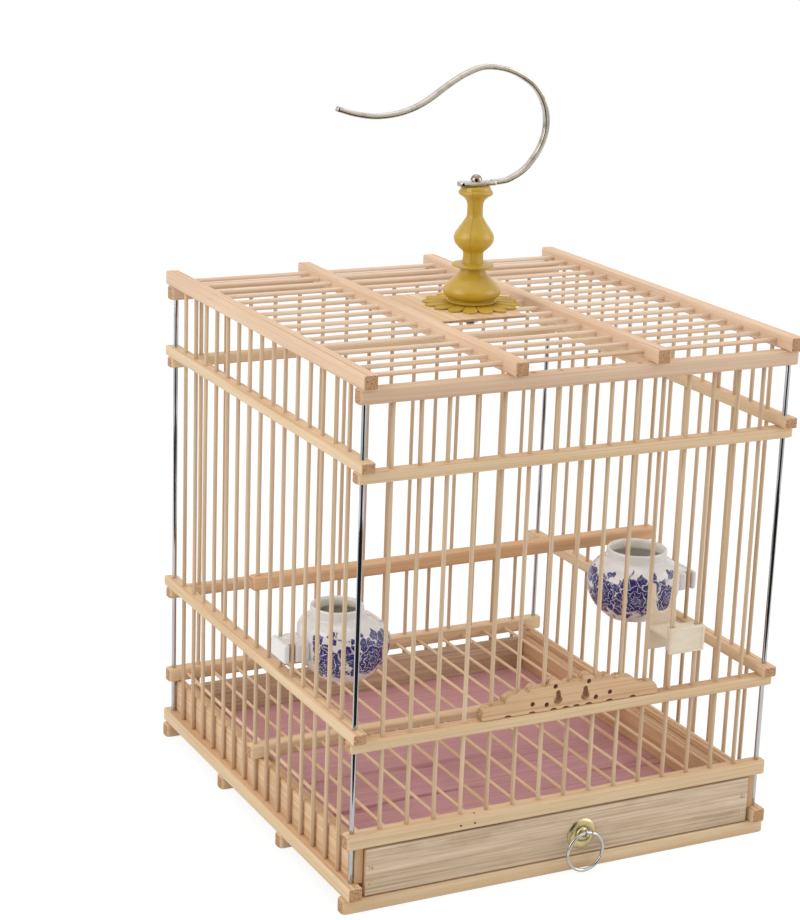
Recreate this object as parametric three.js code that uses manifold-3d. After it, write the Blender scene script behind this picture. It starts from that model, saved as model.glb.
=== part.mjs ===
// A square bamboo bird cage with a sliding door, a droppings drawer and a swivelling hook.
// Millimetres, +Z up, the front faces -Y. The origin is the centre of the base, on the ground.
import * as THREE from 'three';
import { mergeVertices } from 'three/addons/utils/BufferGeometryUtils.js';
import Module from 'manifold-3d';

const wasm = await Module();
wasm.setup();

// Plan: the bars stand on a square grid with a steel post at each corner
const barPitch = 16;
const barsPerWall = 15;
const doorBarCount = 5;
const halfSpan = barPitch * (barsPerWall + 1) / 2;
const cageHeight = 293;

// Timber sections
const railWidth = 8;
const railHeight = 8;
const beltHeight = 6;
const railStub = 4.5;
const crossStub = 6;
const sideStub = 7;
const boardThickness = 4.6;
const boardHeight = 20.2;

// Round stock
const barRadius = 1.2;
const roofRodRadius = 1.3;
const floorRodRadius = 1;
const postRadius = 1.4;
const barSides = 6;
const postSides = 8;

// Fits
const fitGap = 0.3;
const slideGap = 0.5;
const socketDepth = 5;
const cutOverrun = 1;

// Clear heights between the rails, from the ground up
const floorClear = 46.5;
const upperClear = 29;
const perchRise = 35;

// Levels that follow from them
const crossTop = railHeight;
const sideTop = crossTop + railHeight;
const floorBottom = sideTop + boardHeight + fitGap;
const floorTop = floorBottom + railHeight;
const waistBottom = floorTop + floorClear;
const waistMiddle = waistBottom + beltHeight;
const waistTop = waistMiddle + beltHeight;
const topTop = cageHeight - railHeight;
const topBottom = topTop - railHeight;
const upperMiddle = topBottom - upperClear - beltHeight;
const upperBottom = upperMiddle - beltHeight;
const floorRodLevel = floorBottom + railHeight / 2;
const roofRodLevel = topTop + railHeight / 2;
const perchBottom = waistTop + perchRise;

// Places along a wall
const barPlaces = Array.from({ length: barsPerWall }, (_, i) => (i + 1) * barPitch - halfSpan);
const rodPlaces = Array.from({ length: barsPerWall + 1 }, (_, i) => (i + 0.5) * barPitch - halfSpan);
const doorHalfSpan = doorBarCount * barPitch / 2;
const guidePlace = doorHalfSpan + barPitch / 2;
const innerRailPlace = halfSpan / 3;
const sides = [-1, 1];

// Geometry to solid and back
function solidOf(geometry) {
  const bare = geometry.index ? geometry.toNonIndexed() : geometry.clone();
  bare.deleteAttribute('normal');
  bare.deleteAttribute('uv');
  const merged = mergeVertices(bare);
  return new wasm.Manifold(new wasm.Mesh({
    numProp: 3,
    vertProperties: new Float32Array(merged.attributes.position.array),
    triVerts: new Uint32Array(merged.index.array),
  }));
}

function geometryOf(solid) {
  const mesh = solid.getMesh();
  const geometry = new THREE.BufferGeometry();
  geometry.setAttribute('position', new THREE.BufferAttribute(new Float32Array(mesh.vertProperties), 3));
  geometry.setIndex(new THREE.BufferAttribute(new Uint32Array(mesh.triVerts), 1));
  return geometry;
}

const joined = (solids) => solids.reduce((whole, solid) => whole.add(solid));
const cutBy = (solid, cutters) => cutters.reduce((whole, cutter) => whole.subtract(cutter), solid);

// Spans and simple solids
const about = (middle, width) => [middle - width / 2, middle + width / 2];
const upFrom = (start, length) => [start, start + length];
const ordered = (a, b) => [Math.min(a, b), Math.max(a, b)];

function block(x, y, z) {
  const geometry = new THREE.BoxGeometry(x[1] - x[0], y[1] - y[0], z[1] - z[0]);
  geometry.translate((x[0] + x[1]) / 2, (y[0] + y[1]) / 2, (z[0] + z[1]) / 2);
  return solidOf(geometry);
}

function round(axis, radius, span, place, sideCount = barSides) {
  const geometry = new THREE.CylinderGeometry(radius, radius, span[1] - span[0], sideCount);
  const middle = (span[0] + span[1]) / 2;
  if (axis === 'x') {
    geometry.rotateZ(-Math.PI / 2);
    geometry.translate(middle, place[0], place[1]);
  } else if (axis === 'y') {
    geometry.translate(place[0], middle, place[1]);
  } else {
    geometry.rotateX(Math.PI / 2);
    geometry.translate(place[0], place[1], middle);
  }
  return solidOf(geometry);
}

const bar = (x, y, z) => round('z', barRadius, z, [x, y]);
const barHole = (x, y, z) => round('z', barRadius + fitGap, z, [x, y]);
const postHole = (x, y, z) => round('z', postRadius + fitGap, z, [x, y], postSides);

// A profile of radii and heights turned about Z
function turned(profile, segments) {
  const geometry = new THREE.LatheGeometry(profile.map(([r, h]) => new THREE.Vector2(r, h)), segments);
  geometry.rotateX(Math.PI / 2);
  return solidOf(geometry);
}

// An outline drawn in X and Z, with its holes, standing between two places in Y
function standing(outline, holes, y) {
  const shape = new THREE.Shape(outline.map(([x, z]) => new THREE.Vector2(x, z)));
  for (const hole of holes) {
    shape.holes.push(new THREE.Path(hole.map(([x, z]) => new THREE.Vector2(x, z))));
  }
  const geometry = new THREE.ExtrudeGeometry(shape, { depth: y[1] - y[0], bevelEnabled: false });
  geometry.rotateX(Math.PI / 2);
  geometry.translate(0, y[1], 0);
  return solidOf(geometry);
}

const ringPoints = (x, z, radius, count) => Array.from({ length: count }, (_, i) => {
  const angle = (i / count) * 2 * Math.PI;
  return [x + radius * Math.cos(angle), z + radius * Math.sin(angle)];
});

// Materials
const finish = (color, roughness, metalness = 0) =>
  () => new THREE.MeshStandardMaterial({ color, roughness, metalness });
const bamboo = finish(0xdcb88a, 0.6);
const paleBamboo = finish(0xd8c09c, 0.6);
const boardWood = finish(0xcdb08a, 0.65);
const steel = finish(0xc4c6c8, 0.2, 1);
const brass = finish(0xb89a4a, 0.3, 1);
const mustardPlastic = finish(0xc2a22e, 0.3);
const ivoryPlastic = finish(0xe6dcc8, 0.4);
const porcelain = finish(0xf0f0f2, 0.15);
const linerSheet = finish(0xb07c88, 0.8);

const cage = new THREE.Group();
cage.name = 'bird_cage';

function add(name, solid, material) {
  const mesh = new THREE.Mesh(geometryOf(solid), material());
  mesh.name = name;
  cage.add(mesh);
}

// Rails along X and along Y, drilled for the corner posts
const railAcross = (y, z, stub = railStub) => {
  return block([-halfSpan - stub, halfSpan + stub], about(y, railWidth), z);
};
const railAlong = (x, z) => block(about(x, railWidth), [-halfSpan - sideStub, halfSpan + sideStub], z);
const through = (z) => [z[0] - cutOverrun, z[1] + cutOverrun];
const socketDown = (top) => [top - socketDepth, top + cutOverrun];
const socketUp = (bottom) => [bottom - cutOverrun, bottom + socketDepth];
const postHolesAcross = (y, z) => sides.map((side) => postHole(side * halfSpan, y, z));
const postHolesAlong = (x, z) => sides.map((side) => postHole(x, side * halfSpan, z));

const isDoorPlace = (place) => Math.abs(place) < doorHalfSpan;
const fixedPlaces = barPlaces.filter((place) => !isDoorPlace(place));
const doorPlaces = barPlaces.filter(isDoorPlace);

// Base: four cross rails on the ground carry the two side rails
const crossSpan = upFrom(0, railHeight);
const sideSpan = upFrom(crossTop, railHeight);

add('base_rail_front', cutBy(
  railAcross(-halfSpan, crossSpan, crossStub),
  postHolesAcross(-halfSpan, socketDown(crossTop)),
), bamboo);
add('base_rail_inner_front', railAcross(-innerRailPlace, crossSpan), bamboo);
add('base_rail_inner_back', railAcross(innerRailPlace, crossSpan), bamboo);
add('base_rail_back', cutBy(railAcross(halfSpan, crossSpan, crossStub), [
  ...postHolesAcross(halfSpan, socketDown(crossTop)),
  ...barPlaces.map((x) => barHole(x, halfSpan, socketDown(crossTop))),
]), bamboo);

const boardSpan = upFrom(sideTop, boardHeight);
const boardOuter = halfSpan - postRadius - fitGap;
const boardInner = boardOuter - boardThickness;
const boardLength = about(0, 2 * halfSpan + railWidth / 2);

for (const [side, word] of [[-1, 'left'], [1, 'right']]) {
  const x = side * halfSpan;
  add(`base_side_rail_${word}`, cutBy(railAlong(x, sideSpan), [
    ...postHolesAlong(x, through(sideSpan)),
    ...barPlaces.map((y) => barHole(x, y, socketDown(sideTop))),
  ]), bamboo);
  const boardX = ordered(side * boardInner, side * boardOuter);
  add(`side_board_${word}`, block(boardX, boardLength, boardSpan), boardWood);
}

// Floor: front, middle and back rails joined by rods
const floorSpan = upFrom(floorBottom, railHeight);
const floorRodHole = (x, y) => round('y', floorRodRadius + fitGap, y, [x, floorRodLevel]);
const railInner = halfSpan - railWidth / 2;

add('floor_rail_front', cutBy(railAcross(-halfSpan, floorSpan), [
  ...postHolesAcross(-halfSpan, through(floorSpan)),
  ...barPlaces.map((x) => barHole(x, -halfSpan, socketDown(floorTop))),
  ...rodPlaces.map((x) => floorRodHole(x, [-railInner - socketDepth, -railInner + cutOverrun])),
]), bamboo);
add('floor_rail_back', cutBy(railAcross(halfSpan, floorSpan), [
  ...postHolesAcross(halfSpan, through(floorSpan)),
  ...barPlaces.map((x) => barHole(x, halfSpan, through(floorSpan))),
  ...rodPlaces.map((x) => floorRodHole(x, [railInner - cutOverrun, railInner + socketDepth])),
]), bamboo);

const rodEnd = railInner + socketDepth - fitGap;
const floorRod = (x) => round('y', floorRodRadius, [-rodEnd, rodEnd], [x, floorRodLevel]);
add('floor_grille', cutBy(
  joined([railAcross(0, floorSpan), ...rodPlaces.map(floorRod)]),
  sides.map((side) => barHole(side * halfSpan, 0, through(floorSpan))),
), bamboo);

// Walls: each grille is a waist rail with its bars
const wallBarTop = topBottom + socketDepth - fitGap;
const waistAcross = upFrom(waistBottom, beltHeight);
const waistAlong = upFrom(waistMiddle, beltHeight);

add('front_grille', cutBy(joined([
  railAcross(-halfSpan, waistAcross),
  ...fixedPlaces.map((x) => bar(x, -halfSpan, [floorTop - socketDepth + fitGap, wallBarTop])),
  ...doorPlaces.map((x) => bar(x, -halfSpan, [floorTop - socketDepth + fitGap, waistMiddle])),
]), postHolesAcross(-halfSpan, through(waistAcross))), bamboo);
add('back_grille', cutBy(joined([
  railAcross(halfSpan, waistAcross),
  ...barPlaces.map((x) => bar(x, halfSpan, [crossTop - socketDepth + fitGap, wallBarTop])),
]), postHolesAcross(halfSpan, through(waistAcross))), bamboo);

const sideBarSpan = [sideTop - socketDepth + fitGap, topTop + socketDepth - fitGap];
const upperAcross = upFrom(upperBottom, beltHeight);
const upperAlong = upFrom(upperMiddle, beltHeight);
const topSpan = upFrom(topBottom, railHeight);
const roofSpan = upFrom(topTop, railHeight);

for (const [side, word] of [[-1, 'left'], [1, 'right']]) {
  const x = side * halfSpan;
  add(`${word}_grille`, cutBy(
    joined([railAlong(x, waistAlong), ...barPlaces.map((y) => bar(x, y, sideBarSpan))]),
    postHolesAlong(x, through(waistAlong)),
  ), bamboo);
  add(`upper_rail_${word}`, cutBy(railAlong(x, upperAlong), [
    ...postHolesAlong(x, through(upperAlong)),
    ...barPlaces.map((y) => barHole(x, y, through(upperAlong))),
  ]), bamboo);
}

for (const [side, word] of [[-1, 'front'], [1, 'back']]) {
  const y = side * halfSpan;
  add(`upper_rail_${word}`, cutBy(railAcross(y, upperAcross), [
    ...postHolesAcross(y, through(upperAcross)),
    ...barPlaces.map((x) => barHole(x, y, through(upperAcross))),
  ]), bamboo);
  const openPlaces = side < 0 ? doorPlaces : [];
  const blindPlaces = side < 0 ? fixedPlaces : barPlaces;
  add(`top_rail_${word}`, cutBy(railAcross(y, topSpan), [
    ...postHolesAcross(y, through(topSpan)),
    ...openPlaces.map((x) => barHole(x, y, through(topSpan))),
    ...blindPlaces.map((x) => barHole(x, y, socketUp(topBottom))),
  ]), bamboo);
}

// Roof: four rails along Y, with the rods through the two inner ones and into the outer ones
const roofRodHole = (y, x) => round('x', roofRodRadius + fitGap, x, [y, roofRodLevel]);
const roofRod = (y) => round('x', roofRodRadius, [-rodEnd, rodEnd], [y, roofRodLevel]);

for (const [side, word] of [[-1, 'left'], [1, 'right']]) {
  const x = side * halfSpan;
  const socket = ordered(side * (railInner - cutOverrun), side * (railInner + socketDepth));
  add(`roof_rail_${word}`, cutBy(railAlong(x, roofSpan), [
    ...postHolesAlong(x, socketUp(topTop)),
    ...barPlaces.map((y) => barHole(x, y, socketUp(topTop))),
    ...rodPlaces.map((y) => roofRodHole(y, socket)),
  ]), bamboo);
}
add('roof_rail_inner_right', cutBy(
  railAlong(innerRailPlace, roofSpan),
  rodPlaces.map((y) => roofRodHole(y, through(about(innerRailPlace, railWidth)))),
), bamboo);
add('roof_grille', joined([railAlong(-innerRailPlace, roofSpan), ...rodPlaces.map(roofRod)]), bamboo);

// Corner posts
const postSpan = [crossTop - socketDepth + fitGap, topTop + socketDepth - fitGap];
for (const [sideX, wordX] of [[-1, 'left'], [1, 'right']]) {
  for (const [sideY, wordY] of [[-1, 'front'], [1, 'back']]) {
    const place = [sideX * halfSpan, sideY * halfSpan];
    add(`corner_post_${wordY}_${wordX}`, round('z', postRadius, postSpan, place, postSides), steel);
  }
}

// Perch, threaded on the middle bar of each side wall
const perchSpan = upFrom(perchBottom, railHeight);
add('perch', cutBy(
  railAcross(0, perchSpan),
  sides.map((side) => barHole(side * halfSpan, 0, through(perchSpan))),
), bamboo);

// Finial: a stack on one bolt, clamped through the roof rods
const boltRadius = 2.2;
const boltSides = 8;
const roofPlateThickness = 1.5;
const roofPlateDepth = 70;
const roofPlateRight = 16;
const petalCount = 16;
const petalTurnShare = 0.69;
const petalRadius = 28;
const petalValleyShare = 0.86;
const petalThickness = 1.6;
const bellRadius = 16.4;
const bellHeight = 22.6;
const vaseRadius = 11.3;
const vaseHeight = 42.8;
const finialSegments = 20;
// Each profile is a list of radius and height shares, from the foot up
const bellShares = [
  [0.86, 0], [0.86, 0.08], [0.77, 0.09], [0.88, 0.13], [0.96, 0.18], [1, 0.26], [0.97, 0.34],
  [0.86, 0.45], [0.65, 0.6], [0.5, 0.7], [0.42, 0.8], [0.4, 0.88], [0.72, 0.9], [0.72, 0.96], [0.45, 1],
];
const vaseShares = [
  [0.55, 0], [0.51, 0.06], [0.52, 0.14], [0.74, 0.19], [0.92, 0.25], [1, 0.31], [0.96, 0.37],
  [0.78, 0.44], [0.58, 0.53], [0.41, 0.61], [0.39, 0.79], [0.51, 0.84], [0.84, 0.9], [0.86, 0.95],
  [0.75, 0.97], [0.71, 1],
];

const boltHoleRadius = boltRadius + fitGap;
const boltHole = (z) => round('z', boltHoleRadius, z, [0, 0], boltSides);
const roofPlateBottom = roofRodLevel + roofRodRadius + fitGap;
const flowerBottom = roofPlateBottom + roofPlateThickness;
const bellBottom = flowerBottom + petalThickness;
const vaseBottom = bellBottom + bellHeight;
const vaseTop = vaseBottom + vaseHeight;

const turnedStack = (shares, radius, height, bottom) => {
  const profile = shares.map(([r, h]) => [r * radius, bottom + h * height]);
  const closed = [[0, profile[0][1]], ...profile, [0, profile.at(-1)[1]]];
  const hole = boltHole([bottom - cutOverrun, bottom + height + cutOverrun]);
  return cutBy(turned(closed, finialSegments), [hole]);
};

const roofPlateX = [-innerRailPlace + railWidth / 2 + fitGap, roofPlateRight];
add('roof_plate', cutBy(
  block(roofPlateX, about(0, roofPlateDepth), upFrom(roofPlateBottom, roofPlateThickness)),
  [boltHole([roofPlateBottom - cutOverrun, flowerBottom + cutOverrun])],
), boardWood);

const petalOutline = Array.from({ length: 2 * petalCount }, (_, i) => {
  const angle = ((i / 2 + petalTurnShare) / petalCount) * 2 * Math.PI;
  const radius = i % 2 ? petalRadius * petalValleyShare : petalRadius;
  return new THREE.Vector2(radius * Math.cos(angle), radius * Math.sin(angle));
});
const flower = new THREE.ExtrudeGeometry(new THREE.Shape(petalOutline), {
  depth: petalThickness, bevelEnabled: false,
});
flower.translate(0, 0, flowerBottom);
add('finial_flower', cutBy(
  solidOf(flower), [boltHole([flowerBottom - cutOverrun, bellBottom + cutOverrun])],
), mustardPlastic);
add('finial_bell', turnedStack(bellShares, bellRadius, bellHeight, bellBottom), mustardPlastic);
add('finial_vase', turnedStack(vaseShares, vaseRadius, vaseHeight, vaseBottom), mustardPlastic);

// Hook: a bent steel wire, flattened at its foot, that swivels on the bolt
const hookWire = 1.75;
const hookSides = 6;
const hookFootThickness = 3;
const hookFootWidth = 7.4;
const hookFootBack = 11;
const hookReach = 43;
const hookRise = 64;
const hookSteps = 30;
// Shares of the reach along X and of the rise along Z, from the foot to the tip
const hookShares = [
  [0.2, 0], [0.48, 0.03], [0.72, 0.12], [0.92, 0.28], [1, 0.45], [0.98, 0.62], [0.87, 0.77],
  [0.69, 0.88], [0.4, 0.97], [0.06, 1], [-0.2, 0.95], [-0.45, 0.86], [-0.8, 0.71], [-1.12, 0.63],
  [-1.46, 0.605], [-1.76, 0.63], [-2.02, 0.68],
];
const boltHeadRadius = 3.3;
const boltHeadHeight = 3.6;
const washerRadius = 11;
const washerThickness = 1.5;
const nutRadius = 4.6;
const nutHeight = 4;
const boltTail = 1.6;

const hookBottom = vaseTop + fitGap;
const hookLevel = hookBottom + hookWire;
const hookCurve = new THREE.CatmullRomCurve3(
  hookShares.map(([x, z]) => new THREE.Vector3(x * hookReach, 0, hookLevel + z * hookRise)),
);
const hookSection = new THREE.Shape(
  ringPoints(0, 0, hookWire, hookSides).map(([x, z]) => new THREE.Vector2(x, z)),
);
const hookTube = new THREE.ExtrudeGeometry(hookSection, {
  steps: hookSteps, bevelEnabled: false, extrudePath: hookCurve,
});
const hookFootSpan = [-hookFootBack, 2 * hookShares[0][0] * hookReach];
const hookFootZ = upFrom(hookBottom, hookFootThickness);
add('hook', cutBy(
  joined([solidOf(hookTube), block(hookFootSpan, about(0, hookFootWidth), hookFootZ)]),
  [boltHole([hookFootZ[0] - cutOverrun, hookFootZ[1] + cutOverrun])],
), steel);

const boltHeadBottom = hookFootZ[1] + fitGap;
const washerTop = roofRodLevel - roofRodRadius - fitGap;
const nutTop = washerTop - washerThickness - fitGap;
const boltBottom = nutTop - nutHeight - boltTail;
const domeShares = [[1, 0], [0.92, 0.4], [0.6, 0.82], [0, 1]];
const domeProfile = domeShares.map(([r, h]) => [r * boltHeadRadius, boltHeadBottom + h * boltHeadHeight]);
add('hook_bolt', joined([
  round('z', boltRadius, [boltBottom, boltHeadBottom + fitGap], [0, 0], boltSides),
  turned([[0, boltHeadBottom], ...domeProfile], boltSides),
]), steel);
add('roof_washer', cutBy(
  round('z', washerRadius, [washerTop - washerThickness, washerTop], [0, 0], finialSegments),
  [boltHole([washerTop - washerThickness - cutOverrun, washerTop + cutOverrun])],
), steel);
add('bolt_nut', cutBy(
  round('z', nutRadius, [nutTop - nutHeight, nutTop], [0, 0]),
  [boltHole([nutTop - nutHeight - cutOverrun, nutTop + cutOverrun])],
), steel);

// Drawer: a shallow tray between the side boards, on the cross rails
const drawerFrontThickness = 7;
const drawerWall = 4.5;
const drawerPanel = 2;
const drawerGap = 1;
const drawerBackDrop = 3;
const linerThickness = 0.8;

const drawerHalf = boardInner - slideGap;
const drawerFrontY = upFrom(-halfSpan - railWidth / 2, drawerFrontThickness);
const drawerBackY = [railInner - drawerWall, railInner];
const drawerBottom = crossTop + fitGap;
const drawerWallTop = floorBottom - drawerBackDrop;
const wallZ = [drawerBottom, drawerWallTop];
const drawerInnerHalf = drawerHalf - drawerWall;
const wallY = [drawerFrontY[1] + fitGap, drawerBackY[1]];
const trayX = [-drawerInnerHalf + fitGap, drawerInnerHalf - fitGap];
const trayY = [drawerFrontY[1] + fitGap, drawerBackY[0] - fitGap];
const panelTop = drawerBottom + 2 * drawerPanel;

// Pull: a brass rosette, a stud with an eye and a hanging ring
const pullPlace = 11;
const pullRise = 13;
const rosetteRadius = 9;
const rosetteDepth = 2.5;
const rosetteSegments = 16;
const studRadius = 1.3;
const studSides = 6;
const studReach = 5;
const eyeRadius = 2.4;
const eyeWidth = 2.6;
const eyeRise = 2.3;
const ringWire = 0.65;
const ringRadius = 11.1;
const ringSteps = 24;
const ringSides = 6;
// Radius and depth shares of the rosette, from its rim to its middle
const rosetteShares = [[1, 0], [1, 0.25], [0.86, 0.62], [0.62, 0.42], [0.5, 0.9], [0.34, 1], [0.22, 0.7]];

const pullLevel = drawerBottom + pullRise;
const drawerFace = drawerFrontY[0];
const drawerFrontZ = [crossTop + drawerGap, floorBottom - drawerGap];
const eyeLevel = pullLevel + eyeRise;
const eyeY = drawerFace - studReach;
const studSocketEnd = drawerFrontY[1] - drawerGap;

const stud = (radius, y) => round('y', radius, y, [pullPlace, pullLevel], studSides);
add('drawer_front', cutBy(
  block([-drawerHalf, drawerHalf], drawerFrontY, drawerFrontZ),
  [stud(studRadius + fitGap, [drawerFace - cutOverrun, studSocketEnd])],
), boardWood);
add('drawer_side_left', block([-drawerHalf, -drawerInnerHalf], wallY, wallZ), boardWood);
add('drawer_side_right', block([drawerInnerHalf, drawerHalf], wallY, wallZ), boardWood);
add('drawer_back', block(trayX, drawerBackY, wallZ), boardWood);
add('drawer_bottom', block(trayX, trayY, [panelTop - drawerPanel, panelTop]), boardWood);
add('tray_liner', block(trayX, trayY, upFrom(panelTop, linerThickness)), linerSheet);

const rosetteProfile = rosetteShares.map(([r, d]) => [r * rosetteRadius, d * rosetteDepth]);
const rosetteBlank = turned([[0, 0], ...rosetteProfile, [0, rosetteProfile.at(-1)[1]]], rosetteSegments);
const studHole = round('z', studRadius + fitGap, [-cutOverrun, rosetteDepth + cutOverrun], [0, 0], studSides);
add('pull_rosette', rosetteBlank.subtract(studHole)
  .rotate([90, 0, 0]).translate([pullPlace, drawerFace, pullLevel]), brass);

const eyePlate = standing(ringPoints(0, 0, eyeRadius, ringSides + 2), [], about(0, eyeWidth))
  .rotate([0, 0, 90]).translate([pullPlace, eyeY, eyeLevel]);
const eyeHole = round('x', ringWire + fitGap, about(pullPlace, eyeWidth + cutOverrun), [eyeY, eyeLevel]);
const studFootZ = [pullLevel - studRadius, eyeLevel - ringWire - fitGap];
add('pull_stud', cutBy(joined([
  stud(studRadius, [eyeY, studSocketEnd - fitGap]),
  block(about(pullPlace, eyeWidth), about(eyeY, eyeRadius), studFootZ),
  eyePlate,
]), [eyeHole]), steel);

const ringGeometry = new THREE.TorusGeometry(ringRadius, ringWire, ringSides, ringSteps);
ringGeometry.rotateX(Math.PI / 2);
ringGeometry.translate(pullPlace, eyeY, eyeLevel - ringRadius);
add('pull_ring', solidOf(ringGeometry), steel);

// Door: a carved plate on the two guide bars carries the bars that slide up with it
const doorPlateHalf = 55;
const doorPlateHeight = 17.5;
const doorPlateThickness = 6.5;
const doorSocketRise = 7;
const pegHoleRadius = 1;
const pegHoleSides = 6;
const pearSides = 8;
const pearBellyRadius = 2.2;
const pearNeckRadius = 1;
const notchHalf = 2.4;
const notchDepth = 1.1;
// Shares of the half length and of the height, from the middle of the top edge to the end
const doorTopShares = [
  [0, 0.86], [0.07, 0.78], [0.113, 0.8], [0.132, 0.91], [0.19, 1], [0.25, 0.91], [0.27, 0.8],
  [0.33, 0.75], [0.41, 0.88], [0.5, 0.73], [0.6, 0.64], [0.67, 0.7], [0.74, 0.68], [0.79, 0.5],
  [0.85, 0.44], [0.93, 0.43], [0.985, 0.32], [1, 0.18],
];
const notchShares = [0.71, 0.44, 0.06];
const pegHoleShares = [[0.19, 0.77], [0.28, 0.21], [0.44, 0.3]];
const pearShares = { place: 0.155, belly: 0.3, neck: 0.56 };

const doorBottom = waistMiddle + fitGap;
const doorX = (share) => share * doorPlateHalf;
const doorZ = (share) => doorBottom + share * doorPlateHeight;
const mirrored = (points) => [...points].reverse().filter(([x]) => x > 0).map(([x, z]) => [-x, z]);
const doorTop = doorTopShares.map(([x, z]) => [doorX(x), doorZ(z)]);
const doorFoot = notchShares.flatMap((share) => {
  const middle = doorX(share);
  const ceiling = doorBottom + notchDepth;
  return [
    [middle + notchHalf, doorBottom], [middle + notchHalf / 2, ceiling],
    [middle - notchHalf / 2, ceiling], [middle - notchHalf, doorBottom],
  ];
});
const doorRight = [...doorTop, [doorPlateHalf, doorBottom], ...doorFoot];
const doorOutline = [...doorRight, ...mirrored(doorRight)];

function pearHole(side) {
  const x = side * doorX(pearShares.place);
  const bellyZ = doorZ(pearShares.belly);
  const neckZ = doorZ(pearShares.neck);
  const lower = ringPoints(x, bellyZ, pearBellyRadius, pearSides)
    .filter(([, z]) => z <= bellyZ + pearBellyRadius / 2);
  const upper = ringPoints(x, neckZ, pearNeckRadius, pearSides).filter(([, z]) => z >= neckZ - fitGap);
  const turn = ([px, pz]) => Math.atan2(pz - (bellyZ + neckZ) / 2, px - x);
  return [...lower, ...upper].sort((a, b) => turn(a) - turn(b));
}
const pegHoles = sides.flatMap((side) => pegHoleShares.map(
  ([x, z]) => ringPoints(side * doorX(x), doorZ(z), pegHoleRadius, pegHoleSides),
));
const doorHoles = [...pegHoles, ...sides.map(pearHole)];
const doorPlateTop = doorBottom + doorPlateHeight;
const doorSocketFloor = doorBottom + doorSocketRise;
add('door_plate', cutBy(
  standing(doorOutline, doorHoles, about(-halfSpan, doorPlateThickness)),
  [
    ...doorPlaces.map((x) => barHole(x, -halfSpan, [doorSocketFloor, doorPlateTop + cutOverrun])),
    ...sides.map((side) => barHole(side * guidePlace, -halfSpan, [doorBottom - cutOverrun, doorPlateTop])),
  ],
), paleBamboo);
doorPlaces.forEach((x, i) => {
  add(`door_bar_${i + 1}`, bar(x, -halfSpan, [doorSocketFloor + fitGap, topTop]), bamboo);
});

// Cups: porcelain pots whose lug grips two side bars
const cupHeight = 41;
const cupWall = 2.2;
const cupSegments = 20;
const lugRise = 13.5;
const lugHeight = 11;
const lugPlate = 3.5;
const lugReach = 3;
const leftCupStandoff = 34.7;
const leftCupDrop = 5.5;
const leftCupBelly = 26;
const leftCupMouth = 15;
const leftCupFoot = 15.5;
const leftCupLean = 4.5;
const leftCup = {
  name: 'cup_left', side: -1, standoff: leftCupStandoff, rise: -leftCupDrop,
  belly: leftCupBelly, mouth: leftCupMouth, foot: leftCupFoot, lean: leftCupLean,
};
const rightCupStandoff = 33.2;
const rightCupRise = 4.5;
const rightCupBelly = 27.2;
const rightCupMouth = 17.8;
const rightCupFoot = 16;
const rightCupLean = 1.2;
const rightCup = {
  name: 'cup_right', side: 1, standoff: rightCupStandoff, rise: rightCupRise,
  belly: rightCupBelly, mouth: rightCupMouth, foot: rightCupFoot, lean: rightCupLean,
};
// Height shares, and how far each level has grown from the foot or the mouth to the belly
const cupLevels = [
  { height: 0, from: 'foot', swell: 0 }, { height: 0.14, from: 'foot', swell: 0.55 },
  { height: 0.34, from: 'foot', swell: 0.92 }, { height: 0.52, from: 'foot', swell: 1 },
  { height: 0.66, from: 'mouth', swell: 0.93 }, { height: 0.76, from: 'mouth', swell: 0.66 },
  { height: 0.82, from: 'mouth', swell: 0.34 }, { height: 0.86, from: 'mouth', swell: 0.05 },
  { height: 1, from: 'mouth', swell: 0 },
];
const leanStartShare = 0.55;
const leanEndShare = 0.92;
const cupPlace = -5 * barPitch / 2;

function cupSolid({ side, standoff, rise, belly, mouth, foot, lean }) {
  const bottom = waistTop + rise;
  const centre = side * (halfSpan - standoff);
  const ends = { foot, mouth };
  const outer = cupLevels.map((level) => [
    ends[level.from] + level.swell * (belly - ends[level.from]), level.height * cupHeight,
  ]);
  const inner = outer.slice(1).map(([r, h]) => [r - cupWall, h]);
  inner[0] = [inner[0][0], 2 * cupWall];
  const profile = [[0, 0], ...outer, ...inner.reverse(), [0, 2 * cupWall]];
  const geometry = new THREE.LatheGeometry(profile.map(([r, h]) => new THREE.Vector2(r, h)), cupSegments);
  geometry.rotateX(Math.PI / 2);
  const position = geometry.attributes.position;
  for (let i = 0; i < position.count; i += 1) {
    const share = (position.getZ(i) / cupHeight - leanStartShare) / (leanEndShare - leanStartShare);
    position.setX(i, position.getX(i) + side * lean * Math.min(Math.max(share, 0), 1));
  }
  geometry.translate(centre, cupPlace, bottom);

  const lugZ = upFrom(bottom + lugRise, lugHeight);
  const lugInner = centre + side * (belly - cupWall);
  const barInner = side * (halfSpan - barRadius - slideGap);
  const barOuter = side * (halfSpan + barRadius + slideGap);
  const plateY = about(cupPlace, barPitch + lugReach);
  const tongueY = about(cupPlace, barPitch - 2 * barRadius - 2 * fitGap);
  return joined([
    solidOf(geometry),
    block(ordered(lugInner, barInner), plateY, lugZ),
    block(ordered(lugInner, barOuter), tongueY, lugZ),
    block(ordered(barOuter, barOuter + side * lugPlate), plateY, lugZ),
  ]);
}
for (const cup of [leftCup, rightCup]) add(cup.name, cupSolid(cup), porcelain);

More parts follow.
